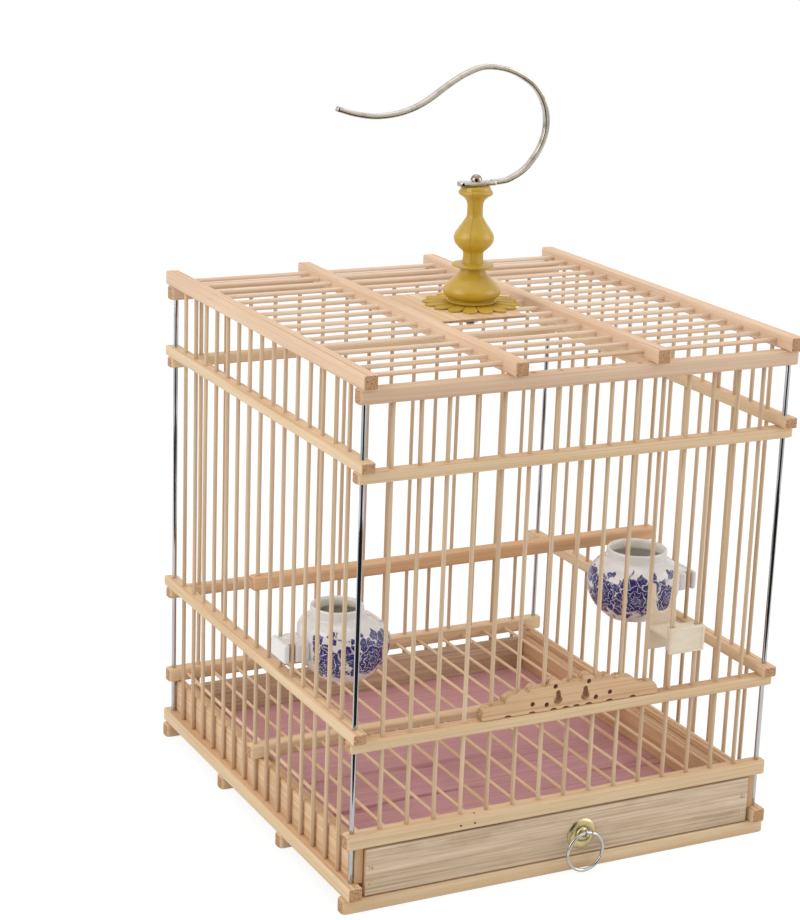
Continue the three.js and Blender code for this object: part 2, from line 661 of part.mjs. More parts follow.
// Food clip: a forked plastic holder that grips two front bars
const clipPlace = 9 * barPitch / 2;
const clipRise = 21.7;
const clipPlateWidth = 22.4;
const clipPlateHeight = 15;
const clipPlate = 2.5;
const clipShelfWidth = 18;
const clipShelfDepth = 19;
const clipShelf = 3;
const clipShelfSink = 6;
const clipForkWidth = 17;
const clipForkDrop = 5.7;
const clipForkHeight = 38.5;
const clipFork = 2.4;
const clipTipHalf = 7.4;
const clipTipTaper = 25;
const clipSlotWidth = 12;
const clipSlotDepth = 17.5;
// Shares of the slot's half width and of its depth, from its bottom up
const clipSlotShares = [[0.3, 0], [0.8, 0.15], [1, 1]];

const clipBottom = waistMiddle + clipRise;
const clipTop = clipBottom + clipPlateHeight;
const clipOuterY = -halfSpan - barRadius - slideGap;
const clipInnerY = -halfSpan + barRadius + slideGap;
const shelfTop = clipTop - clipShelfSink;
const shelfZ = [shelfTop - clipShelf, shelfTop];
const forkY = upFrom(clipInnerY + clipShelfDepth, clipFork);
const forkBottom = clipBottom - clipForkDrop;
const forkTop = forkBottom + clipForkHeight;
const slotBottom = forkTop - clipSlotDepth;
const clipTongue = about(clipPlace, barPitch - 2 * barRadius - 2 * fitGap);
const forkHalf = clipForkWidth / 2;
const slotHalf = clipSlotWidth / 2;
const forkRight = [
  ...clipSlotShares.map(([x, z]) => [x * slotHalf, slotBottom + z * clipSlotDepth]),
  [clipTipHalf, forkTop], [forkHalf, forkTop - clipTipTaper], [forkHalf, forkBottom],
];
const forkOutline = [...forkRight, ...mirrored(forkRight)].map(([x, z]) => [clipPlace + x, z]);
add('food_clip', joined([
  block(about(clipPlace, clipPlateWidth), [clipOuterY - clipPlate, clipOuterY], [clipBottom, clipTop]),
  block(clipTongue, [clipOuterY - clipPlate / 2, clipInnerY + clipPlate / 2], [clipBottom, clipTop]),
  block(about(clipPlace, clipShelfWidth), upFrom(clipInnerY, clipPlate), [clipBottom, clipTop]),
  block(about(clipPlace, clipShelfWidth), [clipInnerY, forkY[1]], shelfZ),
  standing(forkOutline, [], forkY),
]), ivoryPlastic);

export default cage;
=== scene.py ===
"""Looks of a square bamboo bird cage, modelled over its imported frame.

Every length is in metres in the frame's axes: +X right, +Y back, +Z up. Each sub-assembly is a class that
builds its pieces with Blender's own operators and gives them their finish.
"""
from __future__ import annotations

import logging
import math
import random
from abc import ABC, abstractmethod
from dataclasses import dataclass, field
from enum import Enum
from typing import Any, Callable, Iterable, Sequence, Union

import bpy
from mathutils import Matrix, Vector

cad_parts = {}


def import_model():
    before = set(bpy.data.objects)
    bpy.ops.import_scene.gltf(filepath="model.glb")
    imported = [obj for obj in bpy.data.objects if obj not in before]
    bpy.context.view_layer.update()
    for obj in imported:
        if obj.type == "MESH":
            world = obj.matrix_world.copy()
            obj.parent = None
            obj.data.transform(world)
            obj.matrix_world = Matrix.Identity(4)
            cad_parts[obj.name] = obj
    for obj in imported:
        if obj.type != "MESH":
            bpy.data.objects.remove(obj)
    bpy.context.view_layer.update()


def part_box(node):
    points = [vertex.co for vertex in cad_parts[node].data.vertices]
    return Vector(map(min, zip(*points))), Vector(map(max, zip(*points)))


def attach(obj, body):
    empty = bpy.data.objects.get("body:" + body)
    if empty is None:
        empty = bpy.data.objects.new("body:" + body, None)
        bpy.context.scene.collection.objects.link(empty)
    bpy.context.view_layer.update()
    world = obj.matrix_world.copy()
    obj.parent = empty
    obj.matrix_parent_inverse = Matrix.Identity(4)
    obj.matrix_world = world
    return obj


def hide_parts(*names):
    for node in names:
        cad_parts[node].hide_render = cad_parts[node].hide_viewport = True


LOG = logging.getLogger("bird_cage")
Piece = bpy.types.Object
Pair = tuple[float, float]
Triple = tuple[float, float, float]
Line = tuple[Pair, ...]
Place = Sequence[float]
Test = Callable[[Vector], bool]


class Axis(Enum):
    """An axis of the frame, used for the run of a rail, a bar or a grain."""

    X = 0
    Y = 1
    Z = 2

    def pick(self, along: float, across: float) -> Triple:
        """Give one value along this axis and another across it, in X, Y, Z order."""
        return tuple(along if i == self.value else across for i in range(3))


class Side(Enum):
    """A side of the cage, with its sign on the axis that it stands on."""

    LEFT = ("left", -1)
    RIGHT = ("right", 1)
    FRONT = ("front", -1)
    BACK = ("back", 1)

    @property
    def word(self) -> str:
        """The side's name, as the frame's nodes spell it."""
        return self.value[0]

    @property
    def sign(self) -> int:
        """The side's sign on its axis."""
        return self.value[1]


class Part(Enum):
    """What is selected on a mesh in edit mode."""

    POINT = "VERT"
    EDGE = "EDGE"
    FACE = "FACE"


@dataclass(frozen=True)
class Plan:
    """The driving sizes that the visible pieces share with the frame."""

    pitch: float = 0.016
    bars: int = 15
    door_bars: int = 5
    bar_radius: float = 0.0012
    roof_rod_radius: float = 0.0013
    floor_rod_radius: float = 0.001
    bore_radius: float = 0.00138
    rail_round: float = 0.0009
    end_round: float = 0.0026
    waist_front: float = 0.091
    belt_height: float = 0.006
    rail_width: float = 0.008

    @property
    def half(self) -> float:
        """Half the square on which the bars and posts stand."""
        return self.pitch * (self.bars + 1) / 2

    @property
    def places(self) -> list[float]:
        """Where the bars of one wall stand."""
        return [(i + 1) * self.pitch - self.half for i in range(self.bars)]

    @property
    def rod_places(self) -> list[float]:
        """Where the floor and roof rods lie, halfway between the bars."""
        return [(i + 0.5) * self.pitch - self.half for i in range(self.bars + 1)]

    @property
    def door_places(self) -> list[float]:
        """Where the bars that rise with the door stand."""
        limit = self.door_bars * self.pitch / 2
        return [place for place in self.places if abs(place) < limit]

    @property
    def fixed_places(self) -> list[float]:
        """Where the front bars that stay stand."""
        return [place for place in self.places if place not in self.door_places]

    @property
    def guides(self) -> Pair:
        """Where the two bars that guide the door plate stand."""
        reach = (self.door_bars + 1) * self.pitch / 2
        return -reach, reach


def linear(code: str) -> tuple[float, float, float, float]:
    """Turn a written screen colour into the linear one that a shader wants.

    Args:
        code: The colour as six hexadecimal digits.

    Returns:
        Red, green, blue and a full alpha.
    """
    parts = [int(code[i:i + 2], 16) / 255 for i in (0, 2, 4)]
    rgb = [part / 12.92 if part <= 0.04045 else ((part + 0.055) / 1.055) ** 2.4 for part in parts]
    return rgb[0], rgb[1], rgb[2], 1.0


@dataclass(frozen=True, eq=False)
class Wire:
    """One output of a shader node, whose Python operators add Math nodes."""

    tree: Tree
    socket: bpy.types.NodeSocket

    def __add__(self, other: Value) -> Wire:
        """Add a value."""
        return self.tree.maths("ADD", self, other)

    __radd__ = __add__

    def __sub__(self, other: Value) -> Wire:
        """Take a value away."""
        return self.tree.maths("SUBTRACT", self, other)

    def __rsub__(self, other: Value) -> Wire:
        """Take this from a value."""
        return self.tree.maths("SUBTRACT", other, self)

    def __mul__(self, other: Value) -> Wire:
        """Multiply by a value."""
        return self.tree.maths("MULTIPLY", self, other)

    __rmul__ = __mul__

    def __abs__(self) -> Wire:
        """Drop the sign."""
        return self.tree.maths("ABSOLUTE", self, 0.0)

    def __pow__(self, other: Value) -> Wire:
        """Raise to a power."""
        return self.tree.maths("POWER", self, other)


Value = Union[Wire, float]


@dataclass(frozen=True, eq=False)
class Tree:
    """The node tree of one material, or of the world."""

    owner: Union[bpy.types.Material, bpy.types.World]

    def __post_init__(self) -> None:
        """Empty the owner's tree."""
        self.owner.use_nodes = True
        self.owner.node_tree.nodes.clear()

    def node(self, kind: str, settings: dict[str, Any], sockets: dict[Any, Any], output: Any = 0) -> Wire:
        """Add one node.

        Args:
            kind: The node's type.
            settings: Its settings, set before its inputs.
            sockets: Values, colour codes or wires for its inputs, by name or number.
            output: The output to hand back, by name or number.

        Returns:
            A wire on that output.
        """
        made = self.owner.node_tree.nodes.new(kind)
        for name, value in settings.items():
            setattr(made, name, value)
        for key, value in sockets.items():
            if isinstance(value, Wire):
                self.owner.node_tree.links.new(value.socket, made.inputs[key])
            else:
                made.inputs[key].default_value = linear(value) if isinstance(value, str) else value
        return Wire(self, made.outputs[output] if made.outputs else None)

    def maths(self, operation: str, first: Value, second: Value = 0.0) -> Wire:
        """Add a Math node on two values."""
        return self.node("ShaderNodeMath", {"operation": operation}, {0: first, 1: second})

    def clamp(self, value: Value) -> Wire:
        """Hold a value between 0 and 1."""
        return self.node("ShaderNodeMath", {"operation": "ADD", "use_clamp": True}, {0: value, 1: 0.0})

    def step(self, value: Value, low: float, high: float) -> Wire:
        """Ease from 0 at one value to 1 at another.

        Args:
            value: What is compared.
            low: Where the step starts.
            high: Where it ends; it may be the smaller of the two.

        Returns:
            A wire between 0 and 1.
        """
        settings = {"interpolation_type": "SMOOTHSTEP", "clamp": True}
        if low <= high:
            return self.node("ShaderNodeMapRange", settings,
                             {"Value": value, "From Min": low, "From Max": high})
        return 1 - self.node("ShaderNodeMapRange", settings,
                             {"Value": value, "From Min": high, "From Max": low})

    def blend(self, factor: Value, first: Any, second: Any) -> Wire:
        """Mix two colours, with the first one alone at a factor of 0."""
        return self.node("ShaderNodeMix", {"data_type": "RGBA"}, {0: factor, 6: first, 7: second}, 2)

    def shade(self, factor: Value, colour: Any, tint: Any) -> Wire:
        """Multiply a colour by a tint, by a factor."""
        return self.node("ShaderNodeMix", {"data_type": "RGBA", "blend_type": "MULTIPLY"},
                         {0: factor, 6: colour, 7: tint}, 2)

    def place(self, scale: Triple = (1, 1, 1), shift: Triple = (0, 0, 0)) -> Wire:
        """Give the object's own coordinates, scaled on each axis and then moved."""
        own = self.node("ShaderNodeTexCoord", {}, {}, "Object")
        return self.node("ShaderNodeMapping", {}, {"Vector": own, "Scale": scale, "Location": shift})

    def about(self, centre: Triple) -> Wire:
        """Give the object's own coordinates about a point."""
        return self.place(shift=tuple(-c for c in centre))

    def normal(self) -> Wire:
        """Give the surface's direction in the object's own axes."""
        return self.node("ShaderNodeTexCoord", {}, {}, "Normal")

    def part(self, vector: Wire, axis: Axis) -> Wire:
        """Take one axis out of a vector."""
        return self.node("ShaderNodeSeparateXYZ", {}, {0: vector}, axis.value)

    def vector(self, x: Value, y: Value, z: Value = 0.0) -> Wire:
        """Make a vector of three values."""
        return self.node("ShaderNodeCombineXYZ", {}, {0: x, 1: y, 2: z})

    def noise(self, vector: Wire, scale: float = 1.0, detail: float = 3.0, rough: float = 0.5,
              warp: float = 0.0) -> Wire:
        """Read a noise with so many finer layers, their strength and its warp."""
        return self.node("ShaderNodeTexNoise", {}, {
            "Vector": vector, "Scale": scale, "Detail": detail, "Roughness": rough, "Distortion": warp})

    def cells(self, vector: Wire, scale: float, feature: str = "F1", output: Any = 0) -> Wire:
        """Read one output of a pattern of cells: a distance, a colour or a place."""
        return self.node("ShaderNodeTexVoronoi", {"feature": feature}, {"Vector": vector, "Scale": scale},
                         output)

    def bump(self, height: Wire, strength: float, distance: float) -> Wire:
        """Turn a height from 0 to 1 into a normal; the distance is that of 1, in metres."""
        return self.node("ShaderNodeBump", {}, {"Height": height, "Strength": strength, "Distance": distance})

    def surface(self, sockets: dict[str, Any]) -> Wire:
        """Add the surface shader."""
        return self.node("ShaderNodeBsdfPrincipled", {}, sockets)

    def show(self, shader: Wire) -> None:
        """Add the material's output and show a shader in it."""
        self.node("ShaderNodeOutputMaterial", {}, {"Surface": shader})

    def close(self, sockets: dict[str, Any]) -> None:
        """Add the surface shader and show it."""
        self.show(self.surface(sockets))


@dataclass(frozen=True)
class Finish(ABC):
    """A finish of the object, and the record's material slot that it belongs to."""

    name: str
    slot: str

    @abstractmethod
    def make(self, tree: Tree) -> None:
        """Build the material's nodes.

        Args:
            tree: The empty tree of the new material.
        """


@dataclass(frozen=True)
class Bamboo(Finish):
    """Split bamboo with a lengthwise fibre, faint joints and darker end grain."""

    grain: Axis = Axis.X
    light: str = "e6c8a2"
    dark: str = "cda274"
    end: str = "b88f69"
    # Painted light: the faces across the grain are painted in this paler, greyer tone and its darker end, so
    # the tops keep a deeper orange that stands for interreflected light.
    skin: str = "dccaa8"
    skin_shade: str = "dcc09c"
    fleck_tint: str = "b07c4c"
    vein_tint: str = "c4a480"
    pore: str = "5c3a22"
    fibre: float = 620.0
    contrast: float = 0.8
    vein: float = 0.4

    def make(self, tree: Tree) -> None:
        """Build fibres, broad bands, scattered flecks, painted light on the faces across the grain, and end
        grain.

        Args:
            tree: The empty tree of the new material.
        """
        fibre = tree.noise(tree.place(self.grain.pick(9.0, self.fibre)), detail=4.0, rough=0.62)
        band = tree.noise(tree.place(self.grain.pick(2.4, 95.0), (3.1, 1.7, 5.3)), detail=2.0)
        patch = tree.noise(tree.place(self.grain.pick(14.0, 40.0), (7.7, 2.1, 0.4)), detail=2.0)
        tone = tree.clamp((fibre - 0.5) * 1.5 * self.contrast + (band - 0.5) * 1.3
                          + (patch - 0.5) * 0.5 + 0.4)
        colour = tree.blend(tone, self.light, self.dark)
        fleck = tree.noise(tree.place(self.grain.pick(55.0, 1100.0)), detail=2.0)
        colour = tree.shade(tree.step(fleck, 0.66, 0.78) * 0.5, colour, self.fleck_tint)
        lines = tree.noise(tree.place(self.grain.pick(5.0, 950.0), (0.3, 9.1, 4.2)), detail=1.0)
        colour = tree.shade(tree.step(lines, 0.54, 0.66) * self.vein, colour, self.vein_tint)
        # Painted light: the faces across the grain are painted paler and greyer than the tops, standing in
        # for the orange light thrown back onto the tops.
        side = Axis.X if self.grain is Axis.Y else Axis.Y
        skin = tree.step(abs(tree.part(tree.normal(), side)), 0.7, 0.95) * 0.55
        colour = tree.blend(skin, colour, tree.shade(tone * 0.6, self.skin, self.skin_shade))
        facing = abs(tree.part(tree.normal(), self.grain))
        ends = tree.step(facing, 0.72, 0.9)
        pores = tree.cells(tree.place((1050.0,) * 3), 1.0)
        end = tree.blend(tree.step(pores, 0.15, 0.42), self.pore, self.end)
        colour = tree.blend(ends, colour, end)
        height = fibre * 0.7 + band * 0.3 + tree.step(pores, 0.1, 0.4) * ends * 0.5
        tree.close({
            "Base Color": colour,
            "Roughness": tree.clamp(0.44 + fibre * 0.24 + ends * 0.2),
            "Normal": tree.bump(height, 0.35, 0.00025),
        })


@dataclass(frozen=True)
class Board(Finish):
    """A planed board with long grey-brown grain and smudges."""

    grain: Axis = Axis.X
    light: str = "d9c5ab"
    dark: str = "ae9373"
    smudge_tint: str = "b3a088"
    scuff_tint: str = "dfcfb8"
    end: str = "c09c74"
    smudge: float = 0.42

    def make(self, tree: Tree) -> None:
        """Build long grain lines, cloudy smudges and end grain.

        Args:
            tree: The empty tree of the new material.
        """
        line = tree.noise(tree.place(self.grain.pick(14.0, 850.0)), detail=4.0, rough=0.6)
        band = tree.noise(tree.place(self.grain.pick(2.4, 210.0), (1.3, 4.4, 2.6)), detail=2.0)
        cloud = tree.noise(tree.place(self.grain.pick(20.0, 60.0), (5.1, 0.7, 8.2)), detail=5.0, rough=0.65)
        scuff = tree.noise(tree.place(self.grain.pick(34.0, 110.0), (0.4, 6.6, 3.8)), detail=4.0, rough=0.6)
        tone = tree.clamp((line - 0.5) * 2.4 + (band - 0.5) * 0.7 + 0.42)
        colour = tree.blend(tone, self.light, self.dark)
        colour = tree.shade(tree.step(cloud, 0.5, 0.75) * self.smudge, colour, self.smudge_tint)
        colour = tree.blend(tree.step(scuff, 0.56, 0.74) * self.smudge * 0.7, colour, self.scuff_tint)
        facing = abs(tree.part(tree.normal(), self.grain))
        colour = tree.blend(tree.step(facing, 0.75, 0.92), colour, self.end)
        tree.close({
            "Base Color": colour,
            "Roughness": tree.clamp(0.56 + line * 0.2),
            "Normal": tree.bump(line, 0.3, 0.0003),
        })


@dataclass(frozen=True)
class Liner(Finish):
    """The tray's mauve-pink sheet, printed with fine wood grain."""

    light: str = "d6a6a8"
    dark: str = "b88388"
    streak_tint: str = "a7686b"

    def make(self, tree: Tree) -> None:
        """Build fine cross lines and a few long dark streaks.

        Args:
            tree: The empty tree of the new material.
        """
        fine = tree.noise(tree.place((10.0, 420.0, 10.0)), detail=5.0, rough=0.7)
        wave = tree.noise(tree.place((6.0, 75.0, 6.0), (2.0, 3.0, 0.0)), detail=3.0, warp=0.8)
        streak = tree.step(wave, 0.6, 0.74)
        colour = tree.blend(tree.clamp((fine - 0.5) * 1.6 + 0.5), self.light, self.dark)
        colour = tree.shade(streak * 0.65, colour, self.streak_tint)
        tree.close({
            "Base Color": colour,
            "Roughness": 0.62 + fine * 0.16,
            "Normal": tree.bump(fine, 0.2, 0.0002),
        })


@dataclass(frozen=True)
class Metal(Finish):
    """Drawn, bent or stamped metal with fine scratches."""

    tint: str = "c9c9c9"
    shade: str = "8e8c88"
    rough: float = 0.2
    grain: Axis = Axis.Z
    scratch: float = 0.05

    def make(self, tree: Tree) -> None:
        """Build drawing lines, faint stains and uneven gloss.

        Args:
            tree: The empty tree of the new material.
        """
        lines = tree.noise(tree.place(self.grain.pick(20.0, 2200.0)), detail=3.0)
        stain = tree.noise(tree.place(self.grain.pick(30.0, 160.0)), detail=4.0, rough=0.6)
        colour = tree.blend(tree.step(stain, 0.45, 0.8), self.tint, self.shade)
        tree.close({
            "Base Color": colour,
            "Metallic": 1.0,
            "Roughness": tree.clamp(self.rough + lines * 0.05 + (stain - 0.5) * 0.08),
            "Normal": tree.bump(lines, self.scratch, 0.00003),
        })


@dataclass(frozen=True)
class Rosette(Finish):
    """Stamped brass with dark patina lying in its rings."""

    centre: Triple
    radius: float
    brass: str = "d2c494"
    patina: str = "6b6140"

    def make(self, tree: Tree) -> None:
        """Build the patina by distance from the rosette's middle.

        Args:
            tree: The empty tree of the new material.
        """
        spot = tree.about(self.centre)
        across = tree.part(spot, Axis.X)
        up = tree.part(spot, Axis.Z)
        reach = (across * across + up * up) ** 0.5 * (1 / self.radius)
        groove = tree.step(reach, 0.42, 0.46) * tree.step(reach, 0.58, 0.5)
        core = tree.step(reach, 0.24, 0.1)
        mottle = tree.noise(tree.place((420.0,) * 3), detail=4.0, rough=0.65)
        dirt = tree.clamp(groove * 0.6 + core * 0.7 + tree.step(mottle, 0.5, 0.75) * 0.4)
        tree.close({
            "Base Color": tree.blend(dirt, self.brass, self.patina),
            "Metallic": 1.0,
            "Roughness": tree.clamp(0.28 + dirt * 0.2),
            "Normal": tree.bump(mottle, 0.1, 0.0001),
        })


@dataclass(frozen=True)
class MouldedPlastic(Finish):
    """Glossy moulded plastic with a cloudy tone and an upright seam."""

    light: str = "cba836"
    dark: str = "ab861c"
    seam_tint: str = "9a7a28"
    seam: Triple = (-0.64, -0.77, 0.0)
    seam_width: float = 0.00018
    seam_tone: float = 0.3
    rings: float = 0.1
    rough: float = 0.26
    coat: float = 0.14

    def make(self, tree: Tree) -> None:
        """Build cloudy colour, the seam and a faint orange-peel.

        Args:
            tree: The empty tree of the new material.
        """
        cloud = tree.noise(tree.place((70.0, 70.0, 40.0)), detail=3.0)
        peel = tree.noise(tree.place((900.0,) * 3), detail=2.0)
        spot = tree.place()
        x = tree.part(spot, Axis.X)
        y = tree.part(spot, Axis.Y)
        off = abs(x * -self.seam[1] + y * self.seam[0])
        front = tree.step(x * self.seam[0] + y * self.seam[1], 0.0, 0.001)
        line = tree.step(off, self.seam_width * 2, self.seam_width) * front
        colour = tree.blend(tree.clamp((cloud - 0.5) * 1.2 + 0.5), self.light, self.dark)
        colour = tree.shade(line * self.seam_tone, colour, self.seam_tint)
        ring = tree.noise(tree.place((2.0, 2.0, 900.0)), detail=2.0)
        tree.close({
            "Base Color": colour,
            "Roughness": tree.clamp(self.rough + cloud * 0.12),
            "Coat Weight": self.coat,
            "Coat Roughness": 0.12,
            "Normal": tree.bump(peel * 0.2 + line * self.seam_tone + ring * self.rings, 0.3, 0.0002),
        })


@dataclass(frozen=True)
class Ivory(Finish):
    """Semi-gloss ivory plastic with faint flow marks."""

    light: str = "e8dcc8"
    dark: str = "d8c8ae"

    def make(self, tree: Tree) -> None:
        """Build flow marks and a soft mottle.

        Args:
            tree: The empty tree of the new material.
        """
        flow = tree.noise(tree.place((60.0, 60.0, 240.0)), detail=3.0, warp=0.6)
        scuff = tree.noise(tree.place((700.0,) * 3), detail=3.0, rough=0.7)
        colour = tree.blend(tree.clamp((flow - 0.5) * 1.4 + 0.5), self.light, self.dark)
        tree.close({
            "Base Color": colour,
            "Roughness": tree.clamp(0.34 + scuff * 0.2),
            "Subsurface Weight": 0.15,
            "Subsurface Scale": 0.002,
            "Normal": tree.bump(scuff, 0.08, 0.0001),
        })


@dataclass(frozen=True)
class Band:
    """How the flowers and leaves lie round a cup: angles in radians, levels as shares of its height."""

    first: float = -1.34
    spacing: float = 1.03
    bloom: float = 0.0098
    bloom_level: float = 0.38
    bare_from: float = 2.7
    top: float = 0.78


@dataclass(frozen=True)
class Porcelain(Finish):
    """White glaze with a common blue flower-and-leaf band, and an unglazed inside painted paler than the
    glaze, as painted light that lifts the shade within the cup.
    """

    centre: Triple
    wall: int
    height: float
    belly: float
    lean: float
    lean_from: float
    lean_to: float
    band: Band
    deep_blue: str = "100860"
    washed_blue: str = "281e86"
    glaze: str = "e4e1de"
    glaze_shade: str = "d2cfce"
    # Painted light: both inside tones are paler than the glaze, to lift the shade within the cup.
    inside: str = "f2eee6"
    inside_shade: str = "e0dad0"
    leaf_scale: float = 215.0
    fade: float = 0.0004

    def make(self, tree: Tree) -> None:
        """Build the band in the cup's own turn and height.

        Args:
            tree: The empty tree of the new material.
        """
        spot = tree.about(self.centre)
        x, y, z = (tree.part(spot, axis) for axis in (Axis.X, Axis.Y, Axis.Z))
        up = z * (1 / self.height)
        turn = tree.maths("ARCTAN2", y, x * -self.wall)
        flat = tree.vector(turn * self.belly, z, 0.0)
        drift = tree.node("ShaderNodeTexNoise", {}, {"Vector": flat, "Scale": 240.0, "Detail": 2.0}, 1)
        bent = tree.node("ShaderNodeVectorMath", {"operation": "MULTIPLY_ADD"},
                         {0: drift, 1: (0.005, 0.005, 0.0), 2: flat})
        within, petals = self._flowers(tree, turn, up, tree.noise(bent, 300.0, detail=1.0))
        clear = tree.step(abs(turn), self.band.bare_from + 0.03, self.band.bare_from)
        paint = tree.clamp((petals * within + self._leaves(tree, bent, flat) * (1 - within)) * clear)
        wash = tree.noise(bent, 420.0, detail=3.0)
        blue = tree.blend(tree.step(wash, 0.42, 0.75), self.deep_blue, self.washed_blue)
        glaze = tree.noise(tree.place((60.0,) * 3), detail=2.0)
        white = tree.blend(glaze, self.glaze, self.glaze_shade)
        skin = tree.blend(paint * 0.97, white, blue)
        depth = self._inside(tree, x, y, up)
        grit = tree.noise(tree.place((800.0,) * 3), detail=3.0, rough=0.7)
        # Painted light: the unglazed inside is painted paler than the glaze to lift the shade within the cup;
        # its rougher, uncoated surface is its own.
        bare_inside_painted_light = tree.blend(grit, self.inside, self.inside_shade)
        tree.close({
            "Base Color": tree.blend(depth, skin, bare_inside_painted_light),
            "Roughness": tree.clamp(0.12 + depth * 0.3 + (glaze - 0.5) * 0.06),
            "Coat Weight": 0.25 * (1 - depth),
            "Coat Roughness": 0.05,
            "Normal": tree.bump(glaze * (1 - depth) + grit * depth * 0.2, 0.08, 0.0008),
        })

    def _flowers(self, tree: Tree, turn: Wire, up: Wire, ruffle: Wire) -> tuple[Wire, Wire]:
        """Draw round many-petalled flowers, evenly spaced round the belly.

        Args:
            tree: The material's tree.
            turn: The angle round the cup, 0 towards the cage's middle.
            up: Height as a share of the cup's.
            ruffle: A noise that makes the petals uneven.

        Returns:
            Where a flower lies, and where its petals are blue.
        """
        band = self.band
        count = (turn - band.first) * (1 / band.spacing)
        number = tree.maths("FLOOR", count + 0.5)
        across = (count - number) * (band.spacing * self.belly / band.bloom)
        level = tree.maths("SINE", number * 2.1) * 0.05 + band.bloom_level
        rise = (up - level) * (self.height / band.bloom)
        reach = (across * across + rise * rise) ** 0.5 + (ruffle - 0.5) * 0.42
        angle = tree.maths("ARCTAN2", rise, across)
        course = reach * 3.3
        ring = tree.maths("FLOOR", course)
        lobe = abs(tree.maths("SINE", angle * 3.5 + ring * 1.9 + number))
        edge = tree.maths("FRACT", course + lobe * 0.45)
        line = tree.step(edge, 0.16, 0.08) + tree.step(lobe, 0.09, 0.04) * tree.step(edge, 0.62, 0.54)
        return tree.step(reach + lobe * 0.16, 1.04, 0.98), 1 - tree.clamp(line)

    def _leaves(self, tree: Tree, bent: Wire, flat: Wire) -> Wire:
        """Scatter whole leaves round the flowers, each with pale veins.

        Args:
            tree: The material's tree.
            bent: The cup's surface laid flat, drawn out of place.
            flat: The same, true to place.

        Returns:
            Where a leaf is blue.
        """
        fine = self.leaf_scale
        gap = tree.step(tree.cells(bent, fine, "DISTANCE_TO_EDGE"), 0.018, 0.042)
        pick = tree.step(tree.part(tree.cells(bent, fine, output="Color"), Axis.X), 0.1, 0.12)
        vein = tree.step(tree.cells(bent, fine * 2.1, "DISTANCE_TO_EDGE"), 0.005, 0.035)
        middle = tree.cells(bent, fine, output="Position")
        spray = (tree.noise(flat, 90.0, detail=1.0) - 0.5) * (0.34 * self.height)
        level = tree.part(middle, Axis.Y) + spray
        top = self.band.top * self.height
        place = (tree.step(level, top + self.fade, top)
                 * tree.step(level, 0.2 * self.height, 0.22 * self.height))
        far = self.band.bare_from * self.belly
        clear = tree.step(abs(tree.part(middle, Axis.X)), far + self.fade, far)
        return gap * pick * place * clear * (vein * 0.45 + 0.55)

    def _inside(self, tree: Tree, x: Wire, y: Wire, up: Wire) -> Wire:
        """Tell the inside wall from the outside by which way the surface faces.

        Args:
            tree: The material's tree.
            x: Distance from the cup's middle along X.
            y: Distance from the cup's middle along Y.
            up: Height as a share of the cup's.

        Returns:
            1 on the inside wall and floor, 0 outside.
        """
        axis_shift = tree.step(up, self.lean_from, self.lean_to) * (self.wall * self.lean)
        near = x - axis_shift
        normal = tree.normal()
        outward = near * tree.part(normal, Axis.X) + y * tree.part(normal, Axis.Y)
        reach = (near * near + y * y) ** 0.5
        walls = tree.step(outward, -0.001, -0.004) * tree.step(reach, self.belly, self.belly * 0.985)
        floor = tree.step(tree.part(normal, Axis.Z), 0.6, 0.8) * tree.step(up, 0.3, 0.25)
        floor = floor * tree.step(reach, self.belly * 0.9, self.belly * 0.85)
        below_rim = tree.step(up, 0.985, 0.96)
        return tree.clamp((walls + floor) * below_rim)


@dataclass
class Palette:
    """Keeps one material for each finish."""

    made: dict[Finish, bpy.types.Material] = field(default_factory=dict)

    def dress(self, piece: Piece, finish: Finish) -> None:
        """Give a piece a finish.

        Args:
            piece: The finished mesh.
            finish: What it is made of.
        """
        if finish not in self.made:
            self.made[finish] = bpy.data.materials.new(finish.name)
            finish.make(Tree(self.made[finish]))
        piece.data.materials.clear()
        piece.data.materials.append(self.made[finish])


RAIL_X = Bamboo("rail_bamboo_x", "bamboo", Axis.X)
RAIL_Y = Bamboo("rail_bamboo_y", "bamboo", Axis.Y)
ROOF_X = Bamboo("roof_bamboo_x", "bamboo", Axis.X, light="dfc1a2", dark="c69c79", skin="d8c1a9")
ROOF_Y = Bamboo("roof_bamboo_y", "bamboo", Axis.Y, light="e5c5a5", dark="cba27e", skin="dfc4aa")
STICK_X = Bamboo("stick_bamboo_x", "bamboo", Axis.X, light="f2dac0", dark="dab898", skin="eedac5",
                 fibre=900.0)
STICK_Y = Bamboo("stick_bamboo_y", "bamboo", Axis.Y, light="eacdab", dark="cfa67c", skin="e2cdb0",
                 fibre=900.0)
STICK_Z = Bamboo("stick_bamboo_z", "bamboo", Axis.Z, light="dabf9d", dark="b89676", skin="d3c3a8",
                 fibre=900.0)
PERCH_X = Bamboo("perch_bamboo_x", "bamboo", Axis.X, light="e6bd92", dark="c8986a", skin="d8b187")
BURNT = Bamboo("burnt_bamboo", "bamboo", Axis.X, light="6a3a22", dark="442213", end="4c2615", skin="582e1a")
PLUG_Y = Bamboo("plug_bamboo_y", "bamboo", Axis.Y, end="cdb290")
CARVED = Bamboo("carved_bamboo", "pale_bamboo", Axis.X, light="dfbd96", dark="bd946b", skin="dcbb94",
                contrast=1.1, vein=0.7)
BOARD_X = Board("board_x", "board_wood", Axis.X)
BOARD_Y = Board("board_y", "board_wood", Axis.Y, light="e2c29b", dark="c1976c", smudge=0.2)
LINER = Liner("tray_liner_sheet", "liner_sheet")
POST_STEEL = Metal("post_steel", "bright_steel", tint="c6c8ca", shade="a7a9ac", rough=0.06)
HOOK_STEEL = Metal("hook_steel", "bright_steel", tint="c9c1b4", shade="9c9182", rough=0.1, grain=Axis.Y,
                   scratch=0.01)
